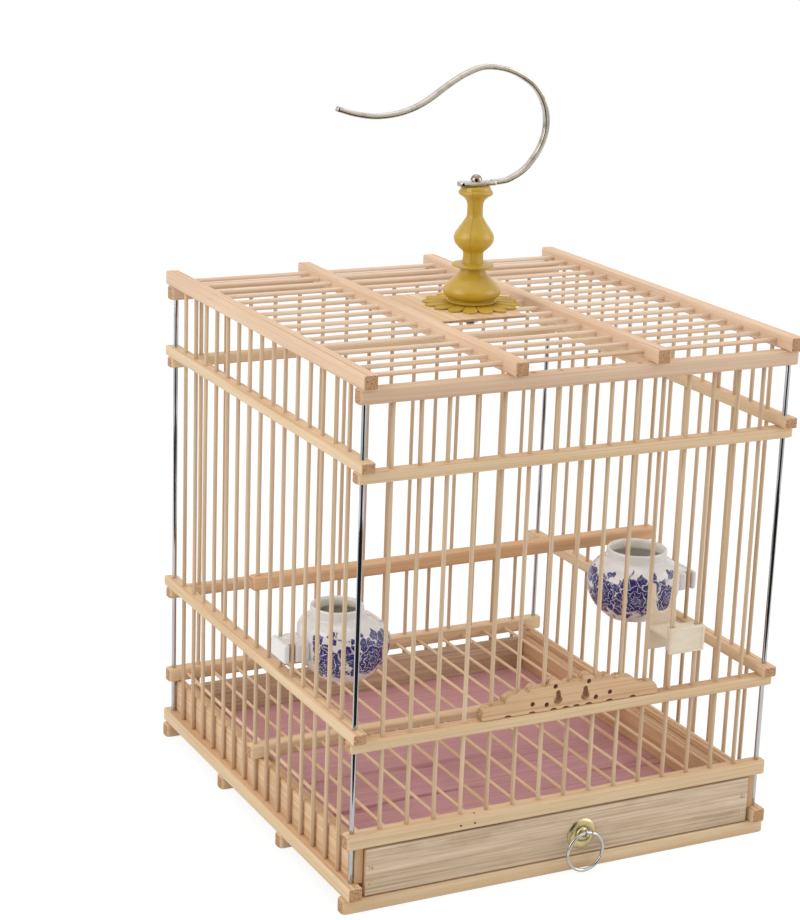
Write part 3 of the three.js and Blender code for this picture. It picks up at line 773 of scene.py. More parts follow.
BOLT_STEEL = Metal("bolt_steel", "bright_steel", tint="9d8f80", shade="6b5d50", rough=0.2)
NAIL_STEEL = Metal("nail_steel", "bright_steel", tint="5c4c3c", shade="3a2e22", rough=0.4, grain=Axis.Y)
RING_STEEL = Metal("ring_steel", "bright_steel", tint="d2d1d0", shade="a5a4a3", rough=0.07, grain=Axis.X)
MUSTARD = MouldedPlastic("mustard_plastic", "mustard_plastic")
MUSTARD_PLAIN = MouldedPlastic("mustard_plastic_plain", "mustard_plastic", seam_tone=0.0, rings=1.0)
MUSTARD_PETAL = MouldedPlastic("mustard_petal_plastic", "mustard_plastic", light="d0ae40", dark="b08c24",
                               seam_tone=0.0, rings=0.3, rough=0.5, coat=0.0)
IVORY = Ivory("ivory_plastic", "ivory_plastic")


@dataclass
class Bench:
    """The maker's bench: adds, shapes, joins and finishes meshes with Blender's operators."""

    weld: float = 0.000005

    def free(self) -> None:
        """Leave edit mode and select nothing."""
        if bpy.context.object and bpy.context.object.mode != "OBJECT":
            bpy.ops.object.mode_set(mode="OBJECT")
        bpy.ops.object.select_all(action="DESELECT")

    def hold(self, *pieces: Piece) -> Piece:
        """Select pieces alone, the first one active.

        Args:
            *pieces: What to select.

        Returns:
            The first piece.
        """
        self.free()
        for piece in pieces:
            piece.select_set(True)
        bpy.context.view_layer.objects.active = pieces[0]
        return pieces[0]

    def edit(self, piece: Piece, kind: Part = Part.POINT, whole: bool = True) -> None:
        """Go into edit mode with all of a mesh selected, or none of it.

        Args:
            piece: The mesh.
            kind: What is selected.
            whole: Whether all of it is.
        """
        self.hold(piece)
        bpy.ops.object.mode_set(mode="EDIT")
        bpy.ops.mesh.select_mode(type=kind.value)
        bpy.ops.mesh.select_all(action="SELECT" if whole else "DESELECT")

    def settle(self, piece: Piece) -> Piece:
        """Move a piece's place into its mesh.

        Args:
            piece: The piece.

        Returns:
            The same piece.
        """
        self.hold(piece)
        bpy.ops.object.transform_apply(location=True, rotation=True, scale=True)
        return piece

    def block(self, name: str, low: Place, high: Place) -> Piece:
        """Add a block between two corners.

        Args:
            name: The piece's name.
            low: Its lowest corner.
            high: Its highest corner.

        Returns:
            The block.
        """
        self.free()
        middle = [(a + b) / 2 for a, b in zip(low, high)]
        bpy.ops.mesh.primitive_cube_add(size=1, location=middle)
        piece = bpy.context.object
        piece.name = name
        piece.scale = [b - a for a, b in zip(low, high)]
        return self.settle(piece)

    def stick(self, name: str, radius: float, length: float, axis: Axis, centre: Place,
              sides: int = 14) -> Piece:
        """Add a round stick.

        Args:
            name: The piece's name.
            radius: Its radius.
            length: Its length.
            axis: The way it runs.
            centre: Its middle.
            sides: How many sides stand for its round.

        Returns:
            The stick.
        """
        self.free()
        turn = {Axis.X: (0, math.pi / 2, 0), Axis.Y: (math.pi / 2, 0, 0), Axis.Z: (0, 0, 0)}[axis]
        bpy.ops.mesh.primitive_cylinder_add(vertices=sides, radius=radius, depth=length, location=centre,
                                            rotation=turn)
        piece = bpy.context.object
        piece.name = name
        return self.settle(piece)

    def modify(self, piece: Piece, kind: str, **settings: Any) -> Piece:
        """Add a modifier and apply it.

        Args:
            piece: The mesh.
            kind: The modifier's type.
            **settings: Its settings.

        Returns:
            The same piece.
        """
        self.hold(piece)
        modifier = piece.modifiers.new(kind.title(), kind)
        for name, value in settings.items():
            setattr(modifier, name, value)
        bpy.ops.object.modifier_apply(modifier=modifier.name)
        return piece

    def soften(self, piece: Piece, width: float, segments: int = 3, angle: float = 40.0) -> Piece:
        """Round off the edges that are sharper than an angle, in degrees."""
        return self.modify(piece, "BEVEL", width=width, segments=segments, limit_method="ANGLE",
                           angle_limit=math.radians(angle), harden_normals=False)

    def bevel_edges(self, piece: Piece, axis: Axis, width: float, segments: int) -> Piece:
        """Round off the edges that run along one axis.

        Args:
            piece: The mesh, with edges straight along the axes.
            axis: The way that the rounded edges run.
            width: How far the round reaches.
            segments: How many steps it has.

        Returns:
            The same piece.
        """
        self.choose(piece, lambda run: abs(run[axis.value]) > 0.99 * run.length, Part.EDGE)
        bpy.ops.mesh.bevel(offset=width, segments=segments, profile=0.5)
        self.free()
        return piece

    def smooth(self, piece: Piece, angle: float = 35.0) -> Piece:
        """Shade smooth, but keep sharp edges.

        Args:
            piece: The mesh.
            angle: Edges sharper than this, in degrees, are kept.

        Returns:
            The same piece.
        """
        self.hold(piece)
        bpy.ops.object.shade_smooth_by_angle(angle=math.radians(angle))
        return piece

    def join(self, name: str, pieces: Sequence[Piece]) -> Piece:
        """Join pieces into one mesh.

        Args:
            name: The new name.
            pieces: What to join.

        Returns:
            The joined piece.
        """
        whole = self.hold(*pieces)
        if len(pieces) > 1:
            bpy.ops.object.join()
        whole.name = name
        whole.data.name = name
        return whole

    def bore(self, piece: Piece, cutters: Sequence[Piece]) -> Piece:
        """Cut pieces out of another, and throw them away.

        Args:
            piece: What is cut.
            cutters: The shapes of the holes, which don't touch each other.

        Returns:
            The cut piece.
        """
        cutter = self.join("cutter", list(cutters))
        self.modify(piece, "BOOLEAN", operation="DIFFERENCE", solver="EXACT", object=cutter)
        bpy.data.objects.remove(cutter)
        return piece

    def choose(self, piece: Piece, test: Test, kind: Part = Part.POINT) -> None:
        """Go into edit mode with some of a mesh selected.

        Args:
            piece: The mesh.
            test: Says yes to a point's place, to an edge's run or to a face's middle.
            kind: What is selected.
        """
        self.edit(piece, kind, False)
        bpy.ops.object.mode_set(mode="OBJECT")
        mesh = piece.data
        if kind is Part.POINT:
            for vertex in mesh.vertices:
                vertex.select = test(vertex.co)
        elif kind is Part.EDGE:
            for edge in mesh.edges:
                first, last = (mesh.vertices[i].co for i in edge.vertices)
                edge.select = test(last - first)
        else:
            for face in mesh.polygons:
                face.select = test(face.center)
        bpy.ops.object.mode_set(mode="EDIT")

    def shift(self, piece: Piece, test: Test, move: Place) -> None:
        """Move some vertices of a mesh.

        Args:
            piece: The mesh.
            test: Says yes to a vertex's place.
            move: How far they go.
        """
        self.choose(piece, test)
        bpy.ops.transform.translate(value=move)
        self.free()

    def grow(self, piece: Piece, test: Test, scale: Place, centre: Place) -> None:
        """Scale some vertices of a mesh about a point.

        Args:
            piece: The mesh.
            test: Says yes to a vertex's place.
            scale: The scale on each axis.
            centre: The point that stays.
        """
        self.choose(piece, test)
        bpy.ops.transform.resize(value=scale, center_override=centre)
        self.free()

    def turn_out(self, piece: Piece) -> Piece:
        """Point all faces of the mesh in edit mode outwards, and leave edit mode.

        Args:
            piece: The mesh.

        Returns:
            The same piece.
        """
        bpy.ops.mesh.select_all(action="SELECT")
        bpy.ops.mesh.normals_make_consistent(inside=False)
        self.free()
        return piece

    def thread(self, name: str, points: Sequence[Place]) -> Piece:
        """Draw a line of edges by extruding one vertex from point to point.

        Args:
            name: The piece's name.
            points: The line's points in order.

        Returns:
            The line, with edit mode left.
        """
        self.free()
        bpy.ops.mesh.primitive_plane_add(size=0.001, location=(0, 0, 0))
        piece = bpy.context.object
        piece.name = name
        self.edit(piece)
        bpy.ops.mesh.merge(type="CENTER")
        bpy.ops.transform.translate(value=points[0])
        for last, here in zip(points, points[1:]):
            step = [b - a for a, b in zip(last, here)]
            bpy.ops.mesh.extrude_region_move(TRANSFORM_OT_translate={"value": step})
        bpy.ops.object.mode_set(mode="OBJECT")
        return piece

    def turned(self, name: str, profile: Sequence[Pair], centre: Place = (0, 0, 0),
               segments: int = 48) -> Piece:
        """Spin a profile about an upright axis.

        Args:
            name: The piece's name.
            profile: Radii and heights, from foot to top.
            centre: Where the axis meets height zero.
            segments: How many steps the turn has.

        Returns:
            The closed piece.
        """
        piece = self.thread(name, [(centre[0] + r, centre[1], centre[2] + h) for r, h in profile])
        self.edit(piece)
        bpy.ops.mesh.spin(steps=segments, angle=2 * math.pi, center=centre, axis=(0, 0, 1))
        bpy.ops.mesh.select_all(action="SELECT")
        bpy.ops.mesh.remove_doubles(threshold=self.weld)
        return self.turn_out(piece)

    def plate(self, name: str, outline: Sequence[Pair], axis: Axis, start: float, end: float) -> Piece:
        """Fill an outline and give it a thickness along an axis.

        Args:
            name: The piece's name.
            outline: The outline's points in order, on the two other axes.
            axis: The way that its thickness runs.
            start: Where it starts on that axis.
            end: Where it ends.

        Returns:
            The plate.
        """
        spots = []
        for point in outline:
            spot = list(point)
            spot.insert(axis.value, start)
            spots.append(spot)
        piece = self.thread(name, spots)
        self.edit(piece)
        bpy.ops.mesh.edge_face_add()
        bpy.ops.mesh.extrude_region_move(TRANSFORM_OT_translate={"value": axis.pick(end - start, 0.0)})
        return self.turn_out(piece)

    def copy(self, master: Piece, move: Place, turn: float = 0.0, axis: Axis = Axis.Z) -> Piece:
        """Copy a piece with a mesh of its own, turned and then moved.

        Args:
            master: What is copied.
            move: How far the copy goes.
            turn: How far it turns, in radians.
            axis: What it turns about, through the origin.

        Returns:
            The copy.
        """
        piece = master.copy()
        piece.data = master.data.copy()
        bpy.context.scene.collection.objects.link(piece)
        piece.matrix_world = Matrix.Translation(move) @ Matrix.Rotation(turn, 4, axis.name)
        return self.settle(piece)


def curve_through(points: Sequence[Pair], steps: int) -> list[Pair]:
    """Round a line of points into a smooth one that passes through them.

    Args:
        points: The points in order.
        steps: How many steps go between two of them.

    Returns:
        The smooth line's points.
    """
    line: list[Pair] = []
    for i in range(len(points) - 1):
        before = points[max(i - 1, 0)]
        start = points[i]
        end = points[i + 1]
        after = points[min(i + 2, len(points) - 1)]
        for k in range(steps):
            t = k / steps
            line.append(tuple(
                0.5 * (2 * b + (c - a) * t + (2 * a - 5 * b + 4 * c - d) * t * t
                       + (3 * b - a - 3 * c + d) * t ** 3)
                for a, b, c, d in zip(before, start, end, after)))
    line.append(tuple(points[-1]))
    return line


@dataclass
class SubAssembly(ABC):
    """A group of pieces that is built together on the bench."""

    bench: Bench
    palette: Palette
    plan: Plan = field(default_factory=Plan)

    @abstractmethod
    def build(self) -> None:
        """Model every piece of the group."""

    def deliver(self, piece: Piece, finish: Finish, body: str, *nodes: str) -> Piece:
        """Finish a piece, tie it to its body and let it stand for its nodes.

        Args:
            piece: The modelled mesh.
            finish: What it is made of.
            body: The body that it rides on.
            *nodes: The frame's nodes that it stands for.

        Returns:
            The same piece.
        """
        self.palette.dress(piece, finish)
        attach(piece, body)
        if nodes:
            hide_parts(*nodes)
        LOG.info("%s: %d faces on %s", piece.name, len(piece.data.polygons), body)
        return piece

    def rail(self, name: str, low: Place, high: Place, rounded_ends: bool = False) -> Piece:
        """Model a rail with rounded edges between two corners.

        Args:
            name: The piece's name.
            low: Its lowest corner.
            high: Its highest corner.
            rounded_ends: Whether its upright end corners are well rounded.

        Returns:
            The rail.
        """
        piece = self.bench.block(name, low, high)
        if rounded_ends:
            self.bench.bevel_edges(piece, Axis.Z, self.plan.end_round, 4)
        self.bench.soften(piece, self.plan.rail_round, 3)
        return self.bench.smooth(piece)

    def bores(self, places: Iterable[Place], axis: Axis, length: float, radius: float) -> list[Piece]:
        """Add the cutters of a row of round holes of one length and radius."""
        return [self.bench.stick("bore", radius, length, axis, place) for place in places]


@dataclass
class Sticks:
    """Makes rows of bamboo sticks from one modelled stick."""

    bench: Bench
    seed: int
    sides: int = 12
    chamfer_share: float = 0.2
    bends: int = 8

    def __post_init__(self) -> None:
        """Seed the small differences between the sticks."""
        self.chance = random.Random(self.seed)

    def master(self, radius: float, length: float, axis: Axis, bow: float) -> Piece:
        """Model one stick about the origin, with chamfered ends and a slight bow.

        Args:
            radius: The stick's radius.
            length: Its length.
            axis: The way it runs.
            bow: How far its middle stands off its straight line.

        Returns:
            The stick.
        """
        stick = self.bench.stick("stick", radius, length, axis, (0, 0, 0), self.sides)
        self.bench.soften(stick, radius * self.chamfer_share, 1, 60)
        if bow > 0:
            side = Axis.X if axis is not Axis.X else Axis.Y
            self.bench.choose(stick, lambda run: abs(run[axis.value]) > length / 2, Part.EDGE)
            bpy.ops.mesh.subdivide(number_cuts=self.bends - 1)
            bpy.ops.object.mode_set(mode="OBJECT")
            for cut in range(1, self.bends):
                place = length * (cut / self.bends - 0.5)
                lift = bow * math.sin(math.pi * cut / self.bends)
                self.bench.shift(
                    stick,
                    lambda co, here=place: abs(co[axis.value] - here) < length / 40,
                    [lift if i == side.value else 0.0 for i in range(3)],
                )
        return self.bench.smooth(stick, 50)

    def row(self, name: str, radius: float, span: Pair, axis: Axis,
            places: Sequence[Place], straight: Sequence[int] = (),
            bow: float = 0.0003) -> Piece:
        """Copy one stick into a row.

        Args:
            name: The row's name.
            radius: The sticks' radius.
            span: Where they start and end along their axis.
            axis: The way that they run.
            places: Their places; the value on their own axis is left out of account.
            straight: The numbers of those that have no bow, because something slides on them.
            bow: How far the others stand off their straight line.

        Returns:
            The joined row.
        """
        length = span[1] - span[0]
        bent = self.master(radius, length, axis, bow)
        plain = self.master(radius, length, axis, 0.0)
        made = []
        for number, place in enumerate(places):
            move = list(place)
            move[axis.value] = (span[0] + span[1]) / 2
            master = plain if number in straight else bent
            made.append(self.bench.copy(master, move, self.chance.uniform(0, 2 * math.pi), axis))
        for master in (bent, plain):
            bpy.data.objects.remove(master)
        return self.bench.join(name, made)


@dataclass
class Base(SubAssembly):
    """The rails on the ground, the side rails on them and the boards beside the drawer."""

    board_edge: float = 0.0004

    def build(self) -> None:
        """Model four cross rails, two side rails and two boards."""
        for node in ("base_rail_front", "base_rail_inner_front", "base_rail_inner_back", "base_rail_back"):
            self.deliver(self.rail(f"{node}_piece", *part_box(node), True), RAIL_X, "cage", node)
        for side in (Side.LEFT, Side.RIGHT):
            node = f"base_side_rail_{side.word}"
            self.deliver(self.rail(f"{node}_piece", *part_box(node)), RAIL_Y, "cage", node)
            node = f"side_board_{side.word}"
            board = self.bench.block(f"{node}_piece", *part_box(node))
            self.bench.soften(board, self.board_edge, 2)
            self.deliver(self.bench.smooth(board), BOARD_Y, "cage", node)


@dataclass
class Floor(SubAssembly):
    """The floor's rails and the rods between them."""

    nail_radius: float = 0.0007
    nail_depth: float = 0.0006
    nail_sink: float = 0.42
    nail_edge: float = 0.0001
    rod_bow: float = 0.0002
    front_nails: Line = ((-0.0651, 0.0394), (-0.0566, 0.0396))
    top_nail: Pair = (-0.0563, -0.1299)

    def build(self) -> None:
        """Model three rails, the rods, and the nails in the front rail."""
        for side in (Side.FRONT, Side.BACK):
            node = f"floor_rail_{side.word}"
            self.deliver(self.rail(f"{node}_piece", *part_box(node), True), RAIL_X, "cage", node)
        low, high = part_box("floor_grille")
        half = self.plan.rail_width / 2
        middle = self.rail("floor_rail_middle", (low.x, -half, low.z), (high.x, half, high.z), True)
        self.deliver(middle, RAIL_X, "cage", "floor_grille")
        self._nails()
        level = (low.z + high.z) / 2
        rods = Sticks(self.bench, 11).row(
            "floor_rods", self.plan.floor_rod_radius, (low.y, high.y), Axis.Y,
            [(x, 0, level) for x in self.plan.rod_places], bow=self.rod_bow)
        self.deliver(rods, STICK_Y, "cage", "floor_grille")

    def _nails(self) -> None:
        """Set the heads of three small nails in the front rail."""
        low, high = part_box("floor_rail_front")
        sink = self.nail_depth * self.nail_sink
        spots = [(Axis.Y, (x, low.y + sink, z)) for x, z in self.front_nails]
        spots.append((Axis.Z, (*self.top_nail, high.z - sink)))
        heads = [self.bench.stick("nail", self.nail_radius, self.nail_depth, axis, spot)
                 for axis, spot in spots]
        for head in heads:
            self.bench.soften(head, self.nail_edge, 1, 60)
        nails = self.bench.join("floor_rail_nails", heads)
        self.deliver(self.bench.smooth(nails, 50), NAIL_STEEL, "cage")


@dataclass
class Walls(SubAssembly):
    """The four walls: their bars, waist rails, upper rails and top rails."""

    bore_middle: float = 0.26
    bore_length: float = 0.08
    cup_grip: Pair = (-0.05, -0.03)
    clip_grip: Pair = (0.06, 0.085)
    guide_reach: float = 0.05

    def build(self) -> None:
        """Model the rails first, then the bars that run through them."""
        plan = self.plan
        half = plan.half
        width = plan.rail_width / 2
        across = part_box("upper_rail_front")
        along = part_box("upper_rail_left")
        for side in (Side.FRONT, Side.BACK):
            y = side.sign * half
            low = (across[0].x, y - width, plan.waist_front)
            high = (across[1].x, y + width, plan.waist_front + plan.belt_height)
            self.deliver(self.rail(f"waist_rail_{side.word}", low, high, True), RAIL_X, "cage",
                         f"{side.word}_grille")
            for kind, finish in (("upper", RAIL_X), ("top", ROOF_X)):
                node = f"{kind}_rail_{side.word}"
                piece = self.rail(f"{node}_piece", *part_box(node), True)
                if side is Side.FRONT:
                    self._drill_door_bores(piece)
                self.deliver(piece, finish, "cage", node)
        for side in (Side.LEFT, Side.RIGHT):
            x = side.sign * half
            low = (x - width, along[0].y, plan.waist_front + plan.belt_height)
            high = (x + width, along[1].y, plan.waist_front + 2 * plan.belt_height)
            self.deliver(self.rail(f"waist_rail_{side.word}", low, high), RAIL_Y, "cage",
                         f"{side.word}_grille")
            node = f"upper_rail_{side.word}"
            self.deliver(self.rail(f"{node}_piece", *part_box(node)), RAIL_Y, "cage", node)
        self._bars()

    def _drill_door_bores(self, piece: Piece) -> None:
        """Bore a rail where the door's bars slide through it.

        Args:
            piece: The rail.
        """
        places = [(x, -self.plan.half, self.bore_middle) for x in self.plan.door_places]
        self.bench.bore(piece, self.bores(places, Axis.Z, self.bore_length, self.plan.bore_radius))
        self.bench.smooth(piece)

    def _bars(self) -> None:
        """Model the bars of the four walls."""
        plan = self.plan
        half = plan.half
        beside_cup = [i for i, y in enumerate(plan.places) if self.cup_grip[0] < y < self.cup_grip[1]]
        gripped = [i for i, x in enumerate(plan.fixed_places)
                   if abs(x) < self.guide_reach or self.clip_grip[0] < x < self.clip_grip[1]]
        for word, seed, places, straight in (
                ("left", 21, [(-half, y, 0) for y in plan.places], beside_cup),
                ("right", 22, [(half, y, 0) for y in plan.places], beside_cup),
                ("back", 23, [(x, half, 0) for x in plan.places], ()),
                ("front", 24, [(x, -half, 0) for x in plan.fixed_places], gripped)):
            low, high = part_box(f"{word}_grille")
            bars = Sticks(self.bench, seed).row(f"bars_{word}", plan.bar_radius, (low.z, high.z), Axis.Z,
                                                places, straight)
            self.deliver(bars, STICK_Z, "cage", f"{word}_grille")
        span = (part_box("front_grille")[0].z, plan.waist_front + plan.belt_height / 2)
        short = Sticks(self.bench, 25).row("bars_under_door", plan.bar_radius, span, Axis.Z,
                                           [(x, -half, 0) for x in plan.door_places], bow=0.0)
        self.deliver(short, STICK_Z, "cage", "front_grille")


@dataclass
class Roof(SubAssembly):
    """The roof's rails and rods."""

    rod_bow: float = 0.0002

    def build(self) -> None:
        """Model four rails along Y and the rods through them."""
        for node in ("roof_rail_left", "roof_rail_inner_right", "roof_rail_right"):
            self.deliver(self.rail(f"{node}_piece", *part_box(node)), ROOF_Y, "cage", node)
        low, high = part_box("roof_grille")
        place = -self.plan.half / 3
        half = self.plan.rail_width / 2
        inner = self.rail("roof_rail_inner_left", (place - half, low.y, low.z),
                          (place + half, high.y, high.z))
        self.deliver(inner, ROOF_Y, "cage", "roof_grille")
        level = (low.z + high.z) / 2
        rods = Sticks(self.bench, 31).row(
            "roof_rods", self.plan.roof_rod_radius, (low.x, high.x), Axis.X,
            [(0, y, level) for y in self.plan.rod_places], bow=self.rod_bow)
        self.deliver(rods, STICK_X, "cage", "roof_grille")


@dataclass
class Posts(SubAssembly):
    """The four steel posts in the corners."""

    chamfer: float = 0.0003

    def build(self) -> None:
        """Model each post from its node's box."""
        for front in (Side.FRONT, Side.BACK):
            for side in (Side.LEFT, Side.RIGHT):
                node = f"corner_post_{front.word}_{side.word}"
                low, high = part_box(node)
                post = self.bench.stick(f"{node}_piece", (high.x - low.x) / 2, high.z - low.z, Axis.Z,
                                        (low + high) / 2, 20)
                self.bench.soften(post, self.chamfer, 2, 60)
                self.deliver(self.bench.smooth(post, 50), POST_STEEL, "cage", node)


@dataclass
class Perch(SubAssembly):
    """The square perch across the cage."""

    edge: float = 0.0015

    def build(self) -> None:
        """Model the perch, with softer edges than a rail's."""
        perch = self.bench.block("perch_piece", *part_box("perch"))
        self.bench.soften(perch, self.edge, 4)
        self.deliver(self.bench.smooth(perch), PERCH_X, "cage", "perch")


@dataclass
class Door(SubAssembly):
    """The carved door plate and the five bars that rise with it."""

    half: float = 0.055
    height: float = 0.0175
    floor: float = field(init=False, default=0.0)
    pin_radius: float = 0.00138
    pin_fit: float = 0.97
    pin_sink: float = 0.0005
    pin_length: float = 0.003
    pin_edge: float = 0.0002
    bulb_radius: float = 0.0027
    bulb_share: Pair = (0.155, 0.31)
    neck_radius: float = 0.0014
    neck_share: Pair = (0.155, 0.55)
    edge: float = 0.0009
    bar_chamfer_share: float = 0.25
    guide_cut: float = 0.05
    keyhole_margin: float = 0.002
    outline_shares: Line = (
        (0.0, 0.86), (0.04, 0.82), (0.075, 0.78), (0.113, 0.8), (0.13, 0.9), (0.155, 0.97), (0.19, 1.0),
        (0.225, 0.97), (0.25, 0.9), (0.265, 0.81), (0.29, 0.77), (0.33, 0.78), (0.37, 0.83), (0.41, 0.87),
        (0.44, 0.85), (0.465, 0.78), (0.48, 0.7), (0.5, 0.69), (0.52, 0.74), (0.55, 0.77), (0.58, 0.76),
        (0.61, 0.71), (0.65, 0.7), (0.69, 0.68), (0.72, 0.63), (0.742, 0.55), (0.75, 0.46), (0.77, 0.43),
        (0.85, 0.43), (0.92, 0.42), (0.96, 0.38), (0.985, 0.3), (1.0, 0.18), (1.0, 0.03), (0.985, 0.0),
    )
    notch_shares: tuple[float, ...] = (0.71, 0.44, 0.2, 0.06)
    notch_size: Pair = (0.0022, 0.0011)
    pin_shares: Line = ((0.19, 0.77), (0.28, 0.21), (0.44, 0.3))

    def build(self) -> None:
        """Model the plate, bore it, then add its bars."""
        low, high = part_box("door_plate")
        self.floor = low.z
        plate = self.bench.plate("door_plate_piece", self._outline(), Axis.Y, low.y, high.y)
        self.bench.soften(plate, self.edge, 2, 35)
        self.bench.bore(plate, self._cutters(low, high))
        self.deliver(self.bench.smooth(plate, 30), CARVED, "door", "door_plate")
        self._pins(low.y)
        bottom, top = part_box("door_bar_1")
        for number, x in enumerate(self.plan.door_places, 1):
            node = f"door_bar_{number}"
            bar = self.bench.stick(f"{node}_piece", self.plan.bar_radius, top.z - bottom.z, Axis.Z,
                                   (x, -self.plan.half, (top.z + bottom.z) / 2), 14)
            self.bench.soften(bar, self.plan.bar_radius * self.bar_chamfer_share, 2, 60)
            self.deliver(self.bench.smooth(bar, 50), STICK_Z, "door", node)

    def _pins(self, face: float) -> None:
        """Set a dark pin back in each pin hole.

        Args:
            face: Where the plate's front face stands.
        """
        pins = []
        for sign in (-1, 1):
            for share in self.pin_shares:
                x, z = self._spot(*share)
                place = (sign * x, face + self.pin_sink + self.pin_length / 2, z)
                pin = self.bench.stick("pin", self.pin_radius * self.pin_fit, self.pin_length, Axis.Y, place)
                pins.append(self.bench.soften(pin, self.pin_edge, 2, 60))
        self.deliver(self.bench.smooth(self.bench.join("door_pins", pins), 50), BURNT, "door")

    def _spot(self, share: float, rise: float) -> Pair:
        """Turn shares of the half length and the height into a place."""
        return share * self.half, self.floor + rise * self.height

    def _outline(self) -> list[Pair]:
        """Draw the plate's edge, from the middle of its top to the right and round.

        Returns:
            The closed outline's points, without repeating the first.
        """
        right = [self._spot(*share) for share in self.outline_shares]
        wide, deep = self.notch_size
        for place in self.notch_shares:
            middle = place * self.half
            for step in range(7):
                angle = math.pi * step / 6
                right.append((middle + wide * math.cos(angle), self.floor + deep * math.sin(angle)))
        left = [(-x, z) for x, z in reversed(right) if x > 0.0001]
        return right + left

    def _cutters(self, low: Vector, high: Vector) -> list[Piece]:
        """Shape the pin holes, the two keyholes and the holes for the guide bars.

        Args:
            low: The plate's lowest corner.
            high: Its highest corner.

        Returns:
            The cutters.
        """
        middle = (low.y + high.y) / 2
        depth = (high.y - low.y) * 1.5
        cutters = []
        for sign in (-1, 1):
            for share in self.pin_shares:
                x, z = self._spot(*share)
                cutters += self.bores([(sign * x, middle, z)], Axis.Y, depth, self.pin_radius)
            cutters.append(self._keyhole(sign, low.y - self.keyhole_margin, high.y + self.keyhole_margin))
        guides = [(x, middle, self.floor) for x in self.plan.guides]
        return cutters + self.bores(guides, Axis.Z, self.guide_cut, self.plan.bore_radius)

    def _keyhole(self, sign: int, front: float, back: float) -> Piece:
        """Shape one keyhole, a pear with a narrow neck above.

        Args:
            sign: Which side of the middle it stands on.
            front: Where the cutter starts.
            back: Where it ends.

        Returns:
            The cutter.
        """
        points = []
        for radius, share, start, sweep in ((self.bulb_radius, self.bulb_share, -225, 270),
                                            (self.neck_radius, self.neck_share, 0, 180)):
            x, level = self._spot(*share)
            for step in range(13):
                angle = math.radians(start + step * sweep / 12)
                points.append((sign * x + radius * math.cos(angle), level + radius * math.sin(angle)))
        return self.bench.plate("keyhole", points, Axis.Y, front, back)


